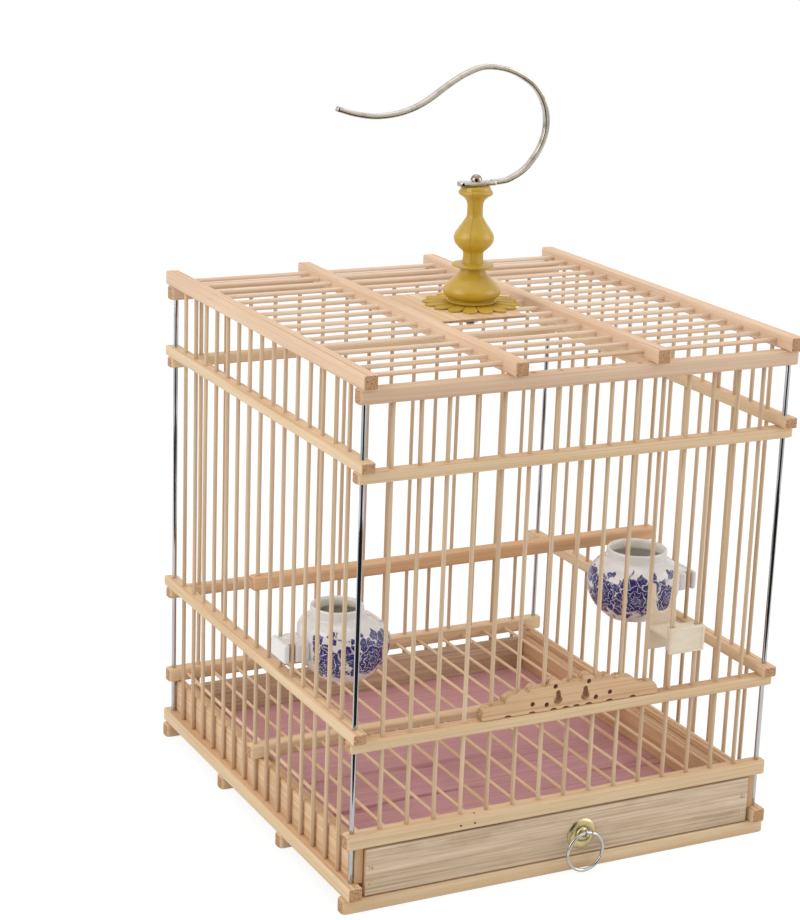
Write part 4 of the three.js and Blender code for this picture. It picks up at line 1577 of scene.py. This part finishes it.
@dataclass
class Drawer(SubAssembly):
    """The droppings drawer with its liner and its pull."""

    board_edge: float = 0.0006
    liner_edge: float = 0.0002
    rosette_radius: float = 0.009
    rosette_depth: float = 0.0025
    rosette_shares: Line = (
        (1.0, 0.0), (1.0, 0.12), (0.98, 0.2), (0.92, 0.36), (0.84, 0.5), (0.74, 0.58), (0.64, 0.58),
        (0.56, 0.5), (0.5, 0.36), (0.46, 0.34), (0.43, 0.42), (0.41, 0.62), (0.36, 0.82), (0.28, 0.95),
        (0.18, 1.0), (0.0, 1.0),
    )
    ring_radius: float = 0.0111
    ring_wire: float = 0.00095
    ring_joint: Pair = (0.0031, 0.0037)
    eye_radius: float = 0.0018
    eye_wire: float = 0.0006
    shank_radius: float = 0.0009
    shank_sink: float = 0.0012
    stud_drop: float = 0.0007
    collar_radius: float = 0.0016
    collar_length: float = 0.0009
    collar_out: float = 0.0028
    collar_edge: float = 0.0003
    peg: float = 0.0034
    peg_proud: float = 0.00012
    peg_sink: float = 0.001
    peg_edge: float = 0.0003
    peg_place: float = 0.1178
    peg_levels: Pair = (0.0156, 0.0254)

    def build(self) -> None:
        """Model the tray's boards, the liner and the pull."""
        for node in ("drawer_front", "drawer_back", "drawer_bottom", "drawer_side_left",
                     "drawer_side_right"):
            piece = self.bench.block(f"{node}_piece", *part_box(node))
            self.bench.soften(piece, self.board_edge, 2)
            self.deliver(self.bench.smooth(piece), BOARD_Y if "side" in node else BOARD_X, "drawer", node)
        self._joint_plugs()
        liner = self.bench.block("tray_liner_piece", *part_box("tray_liner"))
        self.bench.soften(liner, self.liner_edge, 1)
        self.deliver(self.bench.smooth(liner), LINER, "drawer", "tray_liner")
        self._pull()

    def _joint_plugs(self) -> None:
        """Set the ends of the joint's square pegs in the drawer's front."""
        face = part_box("drawer_front")[0].y
        half = self.peg / 2
        pegs = []
        for x in (-self.peg_place, self.peg_place):
            for z in self.peg_levels:
                peg = self.bench.block("peg", (x - half, face - self.peg_proud, z - half),
                                       (x + half, face + self.peg_sink, z + half))
                pegs.append(self.bench.soften(peg, self.peg_edge, 2))
        self.deliver(self.bench.smooth(self.bench.join("drawer_pegs", pegs)), PLUG_Y, "drawer")

    def _pull(self) -> None:
        """Model the rosette, the stud with its eye and the ring."""
        low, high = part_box("pull_rosette")
        middle = (low + high) / 2
        centre = (middle.x, high.y, middle.z)
        profile = [(0.0, 0.0)]
        profile += [(r * self.rosette_radius, h * self.rosette_depth) for r, h in self.rosette_shares]
        rosette = self.bench.turned("pull_rosette_piece", profile, segments=40)
        rosette.matrix_world = Matrix.Translation(centre) @ Matrix.Rotation(math.pi / 2, 4, "X")
        self.bench.settle(rosette)
        finish = Rosette("rosette_brass", "brass", centre, self.rosette_radius)
        self.deliver(self.bench.smooth(rosette, 60), finish, "drawer", "pull_rosette")

        ring_low, ring_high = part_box("pull_ring")
        ring_middle = (ring_low + ring_high) / 2
        hang = (ring_middle.x, ring_middle.y, ring_high.z - self.ring_wire)
        self._stud(hang)
        self.bench.free()
        bpy.ops.mesh.primitive_torus_add(
            major_radius=self.ring_radius, minor_radius=self.ring_wire, major_segments=72,
            minor_segments=12, location=ring_middle, rotation=(math.pi / 2, 0, 0))
        ring = self.bench.settle(bpy.context.object)
        ring.name = "pull_ring_piece"
        start, end = self.ring_joint
        self.bench.choose(ring, lambda co: co.z > ring_middle.z and start < co.x - ring_middle.x < end,
                          Part.FACE)
        bpy.ops.mesh.delete(type="FACE")
        bpy.ops.mesh.select_mode(type="EDGE")
        bpy.ops.mesh.select_all(action="DESELECT")
        bpy.ops.mesh.select_non_manifold()
        bpy.ops.mesh.edge_face_add()
        self.bench.free()
        self.deliver(self.bench.smooth(ring, 60), RING_STEEL, "pull_ring", "pull_ring")

    def _stud(self, hang: Place) -> None:
        """Model the stud's shank, its collar and the eye that the ring hangs in.

        Args:
            hang: The middle of the ring's wire at its top.
        """
        self.bench.free()
        bpy.ops.mesh.primitive_torus_add(
            major_radius=self.eye_radius, minor_radius=self.eye_wire, major_segments=28,
            minor_segments=10, location=hang, rotation=(0, math.pi / 2, 0))
        eye = self.bench.settle(bpy.context.object)
        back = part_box("drawer_front")[0].y
        level = hang[2] - self.stud_drop
        length = back - hang[1] - self.eye_radius + self.shank_sink
        shank = self.bench.stick("shank", self.shank_radius, length, Axis.Y,
                                 (hang[0], (back + hang[1] + self.eye_radius) / 2, level), 12)
        collar = self.bench.stick("collar", self.collar_radius, self.collar_length, Axis.Y,
                                  (hang[0], back - self.collar_out, level), 16)
        self.bench.soften(collar, self.collar_edge, 2)
        stud = self.bench.join("pull_stud_piece", [eye, shank, collar])
        self.deliver(self.bench.smooth(stud, 50), RING_STEEL, "drawer", "pull_stud")


@dataclass
class Cup(SubAssembly):
    """A porcelain cup whose lug grips two bars."""

    side: Side = Side.LEFT
    centre_x: float = -0.0933
    centre_y: float = -0.04
    bottom: float = 0.0975
    belly: float = 0.026
    mouth: float = 0.015
    foot: float = 0.0155
    lean: float = 0.0045
    height: float = 0.041
    wall: float = 0.0022
    lug_rise: float = 0.0135
    lug_height: float = 0.011
    lean_from: float = 0.55
    lean_to: float = 0.92
    lean_steps: int = 14
    band: Band = Band()
    swell_line: Line = ((0.0, 0.0005), (0.18, 0.0022), (0.55, 0.0062), (0.88, 0.0125))
    belly_level: float = 0.0195
    taper_line: Line = (
        (0.97, 0.0245), (0.84, 0.0287), (0.57, 0.032), (0.27, 0.0339), (0.08, 0.0349), (0.01, 0.0364),
        (0.0, 0.0398),
    )
    rim_line: Line = ((0.0002, 0.0005), (0.0008, 0.0), (0.0015, 0.0003))
    inside_from: float = 0.0045
    foot_line: Line = ((0.003, 0.0012), (0.002, 0.0), (0.0006, 0.0))
    floor_edge: Pair = (0.003, 0.0042)
    floor_level: float = 0.004
    lug_play: float = 0.0005
    lug_sink: float = 0.0016
    lug_width: float = 0.003
    tongue_play: float = 0.0006
    tongue_short: float = 0.001
    tongue_drop: float = 0.0004
    lug_edges: Pair = (0.0014, 0.0003)

    def build(self) -> None:
        """Model the pot, its lean, its lug and its glaze."""
        name = f"cup_{self.side.word}"
        centre = (self.centre_x, self.centre_y, self.bottom)
        pot = self.bench.turned(f"{name}_pot", self._profile(), centre, 56)
        for step in range(self.lean_steps):
            level = self.bottom + self.height * (
                self.lean_from + (self.lean_to - self.lean_from) * (step + 0.5) / self.lean_steps)
            self.bench.shift(pot, lambda co, here=level: co.z > here,
                             (self.side.sign * self.lean / self.lean_steps, 0, 0))
        cup = self.bench.join(f"{name}_piece", [pot] + self._lug())
        finish = Porcelain(f"{name}_porcelain", "porcelain", centre, self.side.sign, self.height,
                           self.belly, self.lean, self.lean_from, self.lean_to, self.band)
        self.deliver(self.bench.smooth(cup, 50), finish, name, name)

    def _profile(self) -> list[Pair]:
        """Draw the pot's section from the middle of its foot, out, over the rim and back in.

        Returns:
            Radii and heights.
        """
        swell = self.belly - self.foot
        taper = self.belly - self.mouth
        outer = curve_through([
            *((self.foot + share * swell, level) for share, level in self.swell_line),
            (self.belly, self.belly_level),
            *((self.mouth + share * taper, level) for share, level in self.taper_line)], 3)
        rim = [(self.mouth - inwards, self.height - drop) for inwards, drop in self.rim_line]
        inner = [(r - self.wall, h) for r, h in reversed(outer) if h > self.inside_from]
        foot = [(self.foot - inwards, level) for inwards, level in self.foot_line]
        inwards, level = self.floor_edge
        floor = [(self.foot - inwards, level), (0.0, self.floor_level)]
        return [(0.0, foot[0][1])] + foot + outer + rim + inner + floor

    def _lug(self) -> list[Piece]:
        """Model the lug: a block inside, a tongue between the bars and a plate outside.

        Returns:
            The lug's three pieces.
        """
        low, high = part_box(f"cup_{self.side.word}")
        sign = self.side.sign
        tip = high.x if sign > 0 else low.x
        bar = self.plan.half * sign
        groove = (self.plan.bar_radius + self.lug_play) * sign
        start = self.centre_x + sign * (self.belly - self.lug_sink)
        half = (self.plan.pitch + self.lug_width) / 2
        tongue = (self.plan.pitch - 2 * self.plan.bar_radius - self.tongue_play) / 2
        floor = self.bottom + self.lug_rise
        top = floor + self.lug_height
        wide, fine = self.lug_edges
        short = tip - sign * self.tongue_short
        pieces = []
        for name, first, last, reach, sink, edge in (("block", start, bar - groove, half, 0.0, wide),
                                                     ("tongue", start, short, tongue, self.tongue_drop, fine),
                                                     ("plate", bar + groove, tip, half, 0.0, wide)):
            ends = sorted((first, last))
            piece = self.bench.block(name, (ends[0], self.centre_y - reach, floor + sink),
                                     (ends[1], self.centre_y + reach, top - sink))
            pieces.append(self.bench.soften(piece, edge, 4))
        return pieces


@dataclass
class FoodClip(SubAssembly):
    """The forked holder that grips two front bars."""

    foot: float = 0.1187
    height: float = 0.015
    play: float = 0.0005
    outer_half: float = 0.0112
    panel_half: float = 0.0098
    panel_border: float = 0.0014
    panel_proud: float = 0.001
    panel_depth: float = 0.0005
    tongue_play: float = 0.0006
    tongue_lap: float = 0.0008
    tongue_drop: float = 0.0003
    inner_half: float = 0.0089
    inner_depth: float = 0.0025
    inner_drop: float = 0.0004
    shelf_half: float = 0.009
    shelf_short: float = 0.0004
    shelf_drops: Pair = (0.009, 0.006)
    outer_edge: float = 0.0006
    panel_edge: float = 0.0004
    tongue_edge: float = 0.0002
    edge: float = 0.0005
    fork_edge: float = 0.0006
    fork_depth: float = 0.0024
    fork_root: float = 0.0175
    slot_line: Line = ((0.0, 0.0), (0.0022, 0.0005), (0.0039, 0.0019), (0.0048, 0.0042), (0.0055, 0.009))
    slot_mouth: Pair = (0.0059, 0.0012)
    prong_line: Line = ((0.0062, 0.0003), (0.0067, 0.0), (0.0071, 0.0004), (0.0074, 0.0016), (0.0085, 0.025))

    def build(self) -> None:
        """Model the outer plate, the tongue, the shelf and the fork."""
        low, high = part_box("food_clip")
        middle = (low.x + high.x) / 2
        groove = self.plan.bar_radius + self.play
        front = -self.plan.half
        foot, top = self.foot, self.foot + self.height
        outer = self._box("outer", middle, self.outer_half, (low.y, front - groove), (foot, top),
                          self.outer_edge)
        panel = self.bench.block(
            "panel", (middle - self.panel_half, low.y - self.panel_proud, foot + self.panel_border),
            (middle + self.panel_half, low.y + self.panel_depth, top - self.panel_border))
        self.bench.soften(panel, self.panel_edge, 2)
        self.bench.bore(outer, [panel])
        tongue = self._box("tongue", middle,
                           (self.plan.pitch - 2 * self.plan.bar_radius - self.tongue_play) / 2,
                           (front - groove - self.tongue_lap, front + groove + self.tongue_lap),
                           (foot + self.tongue_drop, top - self.tongue_drop), self.tongue_edge)
        inner = self._box("inner", middle, self.inner_half,
                          (front + groove, front + groove + self.inner_depth),
                          (foot, top - self.inner_drop), self.edge)
        deep, shallow = self.shelf_drops
        shelf = self._box("shelf", middle, self.shelf_half, (front + groove, high.y - self.shelf_short),
                          (top - deep, top - shallow), self.edge)
        fork = self.bench.plate("fork", self._fork(middle, low.z, high.z), Axis.Y,
                                high.y - self.fork_depth, high.y)
        self.bench.soften(fork, self.fork_edge, 3, 35)
        clip = self.bench.join("food_clip_piece", [outer, tongue, inner, shelf, fork])
        self.deliver(self.bench.smooth(clip, 40), IVORY, "food_clip", "food_clip")

    def _box(self, name: str, middle: float, half: float, y: Pair, z: Pair, edge: float) -> Piece:
        """Model one flat stretch of the clip, between two places along Y and two along Z."""
        piece = self.bench.block(name, (middle - half, y[0], z[0]), (middle + half, y[1], z[1]))
        return self.bench.soften(piece, edge, 3)

    def _fork(self, middle: float, low: float, high: float) -> list[Pair]:
        """Draw the fork's outline, with a round slot and tapering prongs.

        Args:
            middle: Its middle along X.
            low: Its foot.
            high: Its tips.

        Returns:
            The outline's points.
        """
        root = high - self.fork_root
        mouth, drop = self.slot_mouth
        right = curve_through([*((x, root + rise) for x, rise in self.slot_line), (mouth, high - drop)], 3)
        right += [(x, high - fall) for x, fall in self.prong_line]
        right.append((right[-1][0], low))
        left = [(-x, z) for x, z in reversed(right) if x > 0.0001]
        return [(middle + x, z) for x, z in right + left]


@dataclass
class Finial(SubAssembly):
    """The turned finial, its flower, and the plate that it stands on."""

    petals: int = 16
    petal_turn: float = 0.69
    petal_line: Line = (
        (0.0118, 0.0), (0.0128, 0.0017), (0.0152, 0.0025), (0.0182, 0.0033), (0.0209, 0.0039),
        (0.023, 0.004), (0.0247, 0.0034), (0.0262, 0.0023), (0.0273, 0.001), (0.0279, 0.0),
    )
    petal_rise: float = 0.001
    petal_rim: float = 0.0005
    petal_lift: float = 0.0001
    petal_edge: float = 0.00016
    droop: tuple[float, ...] = (0.0268, 0.0245, 0.022, 0.0195, 0.0165)
    disc_line: Line = ((0.0, 0.0), (0.0115, 0.0), (0.0122, 0.0006))
    disc_top: Line = ((0.0122, 0.0004), (0.0118, 0.0), (0.0, 0.0))
    plate_edge: float = 0.0003
    ring_line: Line = (
        (0.0, 0.0), (0.0136, 0.0), (0.014, 0.0004), (0.014, 0.0013), (0.0136, 0.0017), (0.0128, 0.0018))
    bell_line: Line = (
        (0.0127, 0.0021), (0.0145, 0.003), (0.0158, 0.0043), (0.0163, 0.006), (0.0159, 0.0079),
        (0.0141, 0.0104), (0.0107, 0.0136), (0.0084, 0.0159), (0.0072, 0.0179), (0.0066, 0.0199))
    flange_line: Line = ((0.0112, 0.0202), (0.0117, 0.0205), (0.01178, 0.0211), (0.0115, 0.0217))
    flange_top: float = 0.0068
    vase_line: Line = (
        (0.0061, 0.0), (0.0058, 0.0022), (0.0057, 0.0044), (0.0061, 0.0062), (0.0083, 0.0082),
        (0.0104, 0.0107), (0.0113, 0.0134), (0.0108, 0.0162), (0.009, 0.0191), (0.0068, 0.0223),
        (0.0053, 0.0247), (0.0047, 0.0258))
    neck_line: Line = (
        (0.0045, 0.0264), (0.0044, 0.0305), (0.0047, 0.0336), (0.0058, 0.0358), (0.0078, 0.0374))
    cap_line: Line = (
        (0.009, 0.038), (0.0096, 0.0387), (0.0097, 0.0395), (0.0094, 0.0403), (0.0087, 0.0408),
        (0.0086, 0.0412), (0.0085, 0.042))
    cap_top: float = 0.0079

    def build(self) -> None:
        """Model the plate, the petals, the bell and the vase."""
        plate = self.bench.block("roof_plate_piece", *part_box("roof_plate"))
        self.bench.soften(plate, self.plate_edge, 2)
        self.deliver(self.bench.smooth(plate), RAIL_Y, "cage", "roof_plate")
        self._flower()
        bell = [*self.ring_line, *curve_through(self.bell_line, 3), *self.flange_line]
        self._turn("finial_bell", bell, self.flange_top, MUSTARD_PLAIN)
        vase = [(0.0, 0.0), *curve_through(self.vase_line, 3), *curve_through(self.neck_line, 3),
                *self.cap_line]
        self._turn("finial_vase", vase, self.cap_top, MUSTARD)

    def _turn(self, node: str, side: list[Pair], top: float, finish: Finish) -> None:
        """Spin one turned stretch of the finial, as tall as its node.

        Args:
            node: The node that it stands for.
            side: The radii and heights of its foot and side.
            top: The radius of its flat top.
            finish: What it is made of.
        """
        low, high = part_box(node)
        size = high.z - low.z
        piece = self.bench.turned(f"{node}_piece", [*side, (top, size), (0.0, size)], (0, 0, low.z), 64)
        self.deliver(self.bench.smooth(piece, 40), finish, "cage", node)

    def _flower(self) -> None:
        """Model one petal, copy it round, and lay a disc over the roots."""
        low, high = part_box("finial_flower")
        right = curve_through(self.petal_line, 3)
        outline = right + [(x, -y) for x, y in reversed(right[1:-1])]
        floor = low.z + self.petal_lift
        petal = self.bench.plate("petal", outline, Axis.Z, floor, floor + self.petal_rise)
        self.bench.choose(petal, lambda co: co.z > floor + self.petal_rise * 0.9, Part.FACE)
        bpy.ops.mesh.inset(thickness=self.petal_rim)
        bpy.ops.transform.translate(value=(0, 0, -self.petal_rise * 0.5))
        bpy.ops.mesh.poke(offset=-self.petal_rise * 0.1)
        self.bench.free()
        for edge in self.droop:
            self.bench.shift(petal, lambda co, here=edge: co.x < here, (0, 0, self.petal_lift))
        self.bench.modify(petal, "BEVEL", width=self.petal_edge, segments=2, limit_method="ANGLE",
                          angle_limit=math.radians(50))
        ring = [self.bench.copy(petal, (0, 0, 0), 2 * math.pi * (i + self.petal_turn) / self.petals, Axis.Z)
                for i in range(self.petals)]
        bpy.data.objects.remove(petal)
        top = high.z - low.z
        profile = [*self.disc_line, *((radius, top - drop) for radius, drop in self.disc_top)]
        disc = self.bench.turned("disc", profile, (0, 0, low.z), 56)
        flower = self.bench.join("finial_flower_piece", [disc] + ring)
        self.deliver(self.bench.smooth(flower, 35), MUSTARD_PETAL, "cage", "finial_flower")


@dataclass
class Hook(SubAssembly):
    """The bent hook, and the bolt, washer and nut that hold it."""

    reach: float = 0.043
    rise: float = 0.064
    thick: float = 0.0029
    wide: float = 0.0038
    corner: float = 0.0007
    steps: int = 84
    foot_left: float = -0.011
    foot_right: float = 0.0128
    foot_width: float = 0.0074
    foot_height: float = 0.0025
    course_shares: Line = (
        (0.22, 0.0), (0.36, 0.002), (0.5, 0.024), (0.73, 0.115), (0.92, 0.28), (1.0, 0.45), (0.98, 0.62),
        (0.87, 0.77), (0.69, 0.88), (0.4, 0.97), (0.06, 1.0), (-0.2, 0.95), (-0.45, 0.86), (-0.8, 0.71),
        (-1.12, 0.63), (-1.46, 0.605), (-1.76, 0.63), (-2.02, 0.68),
    )
    course_rise: float = 0.0016
    edge: float = 0.0004
    foot_bore: float = 0.0024
    foot_cut: float = 0.02
    foot_round: float = 0.3
    foot_taper: tuple[Triple, ...] = ((0.0085, 0.85, 1.0), (0.0105, 0.82, 0.95))
    washer_bore: float = 0.0025
    washer_edge: float = 0.0004
    nut_bore: float = 0.0023
    nut_cut: float = 0.01
    nut_edge: float = 0.0005
    shank: float = 0.0022
    shank_tip: Pair = (0.0019, 0.0004)
    dome: float = 0.0033
    dome_drop: float = 0.0038

    def build(self) -> None:
        """Model the hook, the bolt's dome and what is under the roof."""
        self._wire()
        self._bolt()
        low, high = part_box("roof_washer")
        size = high.z - low.z
        bore, edge = self.washer_bore, self.washer_edge
        outer = (high.x - low.x) / 2
        washer = self.bench.turned("roof_washer_piece", [
            (bore, 0.0), (outer - edge, 0.0), (outer, edge), (outer, size - edge), (outer - edge, size),
            (bore, size), (bore, 0.0)], (0, 0, low.z), 48)
        self.deliver(self.bench.smooth(washer, 40), RING_STEEL, "cage", "roof_washer")
        low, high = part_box("bolt_nut")
        middle = (low + high) / 2
        nut = self.bench.stick("bolt_nut_piece", (high.y - low.y) / 2, high.z - low.z, Axis.Z, middle, 6)
        self.bench.soften(nut, self.nut_edge, 2)
        self.bench.bore(nut, [self.bench.stick("bore", self.nut_bore, self.nut_cut, Axis.Z, middle, 24)])
        self.deliver(self.bench.smooth(nut, 40), RING_STEEL, "cage", "bolt_nut")

    def _course(self, level: float) -> list[Vector]:
        """Space points evenly along the hook's middle line.

        Args:
            level: The height of the line at the bolt.

        Returns:
            The points, in the plane of Y zero.
        """
        rough = curve_through([(x * self.reach, level + z * self.rise) for x, z in self.course_shares], 24)
        lengths = [0.0]
        for a, b in zip(rough, rough[1:]):
            lengths.append(lengths[-1] + math.dist(a, b))
        points = []
        spot = 0
        for i in range(self.steps + 1):
            want = lengths[-1] * i / self.steps
            while spot < len(lengths) - 2 and lengths[spot + 1] < want:
                spot += 1
            share = (want - lengths[spot]) / max(lengths[spot + 1] - lengths[spot], 1e-9)
            a, b = rough[spot], rough[spot + 1]
            points.append(Vector((a[0] + (b[0] - a[0]) * share, 0, a[1] + (b[1] - a[1]) * share)))
        return points

    def _wire(self) -> None:
        """Extrude the wire's section along its course and add the flat foot."""
        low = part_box("hook")[0]
        points = self._course(low.z + self.course_rise)
        first = points[1] - points[0]
        tilt = math.atan2(first.z, first.x)
        self.bench.free()
        bpy.ops.mesh.primitive_plane_add(size=1, location=points[0], rotation=(0, math.pi / 2 - tilt, 0))
        piece = bpy.context.object
        piece.scale = (self.thick, self.wide, 1)
        self.bench.settle(piece)
        self.bench.edit(piece)
        bpy.ops.mesh.bevel(offset=self.corner, segments=3, affect="VERTICES")
        bpy.ops.mesh.select_all(action="SELECT")
        for i in range(1, len(points)):
            bpy.ops.mesh.extrude_region_move(
                TRANSFORM_OT_translate={"value": points[i] - points[i - 1]})
            if i < len(points) - 1:
                ahead = points[i + 1] - points[i]
                angle = math.atan2(ahead.z, ahead.x)
                turn = (angle - tilt + math.pi) % (2 * math.pi) - math.pi
                bpy.ops.transform.rotate(value=turn, orient_axis="Y", center_override=points[i])
                tilt = angle
        self.bench.turn_out(piece)
        self.bench.soften(piece, self.edge, 2, 60)
        half = self.foot_width / 2
        foot = self.bench.block("foot", (self.foot_left, -half, low.z),
                                (self.foot_right, half, low.z + self.foot_height))
        self.bench.bevel_edges(foot, Axis.Z, self.foot_width * self.foot_round, 5)
        self.bench.soften(foot, self.edge, 2)
        for start, across, up in self.foot_taper:
            self.bench.grow(foot, lambda co, edge=start: co.x > edge, (1, across, up), (0, 0, low.z))
        bore = self.bench.stick("bore", self.foot_bore, self.foot_cut, Axis.Z, (0, 0, low.z), 24)
        self.bench.bore(foot, [bore])
        hook = self.bench.join("hook_piece", [piece, foot])
        self.deliver(self.bench.smooth(hook, 50), HOOK_STEEL, "hook", "hook")

    def _bolt(self) -> None:
        """Model the bolt with its domed head."""
        low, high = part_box("hook_bolt")
        level = high.z - self.dome_drop
        tip, chamfer = self.shank_tip
        profile = [(0.0, low.z), (tip, low.z), (self.shank, low.z + chamfer), (self.shank, level)]
        for step in range(8):
            angle = math.radians(step * 90 / 8)
            profile.append((self.dome * math.cos(angle), level + self.dome * math.sin(angle)))
        profile.append((0.0, level + self.dome))
        bolt = self.bench.turned("hook_bolt_piece", profile, (0, 0, 0), 28)
        self.deliver(self.bench.smooth(bolt, 50), BOLT_STEEL, "cage", "hook_bolt")


@dataclass
class Studio:
    """The camera, the lamps and the pale floor."""

    azimuth: float = -27.16
    elevation: float = 16.08
    roll: float = 2.0
    distance: float = 1.2958
    target: Triple = (-0.0416, 0.0, 0.2044)
    focal_px: float = 2282.6
    frame_px: tuple[int, int] = (800, 920)
    sensor: float = 36.0
    card_distance: float = 1.7
    card_size: Pair = (2.2, 2.0)
    card_near: float = 1.0
    lying_size: Pair = (2.5, 1.5)
    card_levels: Pair = (0.7, 0.001)
    near_clip: float = 0.05
    floor_size: float = 30.0
    aim: Triple = (0.0, 0.0, 0.18)
    lamps: tuple[tuple[str, Triple, float, float], ...] = (
        ("left_lamp", (-1.7, -0.1, 1.1), 1.4, 13.6), ("right_lamp", (1.5, -0.9, 0.9), 1.2, 9.0),
        ("top_lamp", (0.1, 0.5, 1.9), 1.4, 7.0),
    )
    plain_light: float = 0.71
    floor_drop: float = 0.0003
    floor_glow: float = 1.1
    floor_share: float = 0.78

    def build(self) -> None:
        """Set the camera, the world, the lamps and the floor."""
        self._camera()
        self._world()
        for lamp in self.lamps:
            self._lamp(*lamp)
        self._cards()
        self._floor()
        bpy.context.scene.view_settings.view_transform = "Standard"

    def _camera(self) -> None:
        """Set the camera at the photograph's viewing angle."""
        azimuth, elevation = math.radians(self.azimuth), math.radians(self.elevation)
        back = Vector((math.sin(azimuth) * math.cos(elevation), -math.cos(azimuth) * math.cos(elevation),
                       math.sin(elevation)))
        right = Vector((0, 0, 1)).cross(back).normalized()
        up = back.cross(right)
        cosine, sine = math.cos(math.radians(self.roll)), math.sin(math.radians(self.roll))
        rolled_right = right * cosine + up * sine
        rolled_up = up * cosine - right * sine
        data = bpy.data.cameras.new("photo_camera")
        data.sensor_fit = "VERTICAL"
        data.sensor_height = self.sensor
        data.lens = self.focal_px * self.sensor / self.frame_px[1]
        data.clip_start = self.near_clip
        camera = bpy.data.objects.new("photo_camera", data)
        bpy.context.scene.collection.objects.link(camera)
        turn = Matrix((rolled_right, rolled_up, back)).transposed().to_4x4()
        camera.matrix_world = Matrix.Translation(Vector(self.target) + back * self.distance) @ turn
        bpy.context.scene.camera = camera

    def _world(self) -> None:
        """Light evenly, and show white to the eye and in gloss."""
        world = bpy.data.worlds.new("studio_world")
        bpy.context.scene.world = world
        tree = Tree(world)
        path = "ShaderNodeLightPath"
        mirrored = tree.maths("MAXIMUM", tree.node(path, {}, {}, "Is Transmission Ray"),
                              tree.node(path, {}, {}, "Is Glossy Ray"))
        seen = tree.maths("MAXIMUM", tree.node(path, {}, {}, "Is Camera Ray"), mirrored)
        strength = tree.node("ShaderNodeMapRange", {}, {
            "Value": seen, "To Min": self.plain_light, "To Max": 1.0})
        light = tree.node("ShaderNodeBackground", {}, {"Color": (1, 1, 1, 1), "Strength": strength})
        tree.node("ShaderNodeOutputWorld", {}, {"Surface": light})

    def _lamp(self, name: str, place: Triple, size: float, power: float) -> None:
        """Add a soft square lamp that faces the cage.

        Args:
            name: The lamp's name.
            place: Where it hangs.
            size: Its width.
            power: Its power in watts.
        """
        data = bpy.data.lights.new(name, "AREA")
        data.size = size
        data.energy = power
        lamp = bpy.data.objects.new(name, data)
        bpy.context.scene.collection.objects.link(lamp)
        lamp.location = place
        lamp.rotation_euler = (Vector(self.aim) - Vector(place)).to_track_quat("-Z", "Y").to_euler()

    def _cards(self) -> None:
        """Stand one dark card behind the camera and lay one before the cage, seen only in gloss."""
        azimuth = math.radians(self.azimuth)
        tree = Tree(bpy.data.materials.new("dark_card"))
        tree.close({"Base Color": (0.02, 0.02, 0.02, 1), "Roughness": 1.0, "Specular IOR Level": 0.0})
        high, low = self.card_levels
        for name, distance, level, tilt in (("standing_card", self.card_distance, high, math.pi / 2),
                                            ("lying_card", self.card_near, low, 0.0)):
            place = (math.sin(azimuth) * distance, -math.cos(azimuth) * distance, level)
            bpy.ops.object.select_all(action="DESELECT")
            bpy.ops.mesh.primitive_plane_add(size=1, location=place, rotation=(tilt, 0, azimuth))
            card = bpy.context.object
            card.name = name
            card.scale = (*(self.card_size if tilt else self.lying_size), 1)
            card.visible_camera = False
            card.visible_diffuse = False
            card.visible_shadow = False
            card.data.materials.append(tree.owner)

    def _floor(self) -> None:
        """Lay a plain white floor that keeps a faint shadow."""
        bpy.ops.object.select_all(action="DESELECT")
        bpy.ops.mesh.primitive_plane_add(size=self.floor_size, location=(0, 0, -self.floor_drop))
        floor = bpy.context.object
        floor.name = "studio_floor"
        tree = Tree(bpy.data.materials.new("studio_floor"))
        surface = tree.surface({
            "Base Color": (0.9, 0.9, 0.9, 1), "Roughness": 0.9, "Specular IOR Level": 0.0})
        glow = tree.node("ShaderNodeEmission", {}, {"Color": (1, 1, 1, 1), "Strength": self.floor_glow})
        mixed = tree.node("ShaderNodeMixShader", {}, {0: self.floor_share, 1: surface, 2: glow})
        path = tree.node("ShaderNodeLightPath", {}, {}, "Is Camera Ray")
        shown = tree.node("ShaderNodeMixShader", {}, {0: path, 1: surface, 2: mixed})
        tree.show(shown)
        floor.data.materials.append(tree.owner)


def main() -> None:
    """Load the frame, build every sub-assembly over it, then set up the studio."""
    logging.basicConfig(level=logging.INFO, format="%(name)s: %(message)s")
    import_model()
    bench = Bench()
    palette = Palette()
    right_cup: dict[str, Any] = {
        "centre_x": 0.0948, "bottom": 0.1075, "belly": 0.0272, "mouth": 0.0178, "foot": 0.016,
        "lean": 0.0012, "band": Band(-1.08, 0.8, 0.0094, 0.43, 2.16, 0.8)}
    groups: list[SubAssembly] = [
        Base(bench, palette), Floor(bench, palette), Walls(bench, palette), Roof(bench, palette),
        Posts(bench, palette), Perch(bench, palette), Door(bench, palette), Drawer(bench, palette),
        Cup(bench, palette), Cup(bench, palette, side=Side.RIGHT, **right_cup), FoodClip(bench, palette),
        Finial(bench, palette), Hook(bench, palette),
    ]
    for group in groups:
        LOG.info("building %s", type(group).__name__)
        group.build()
    Studio().build()


if __name__ == "__main__":
    main()
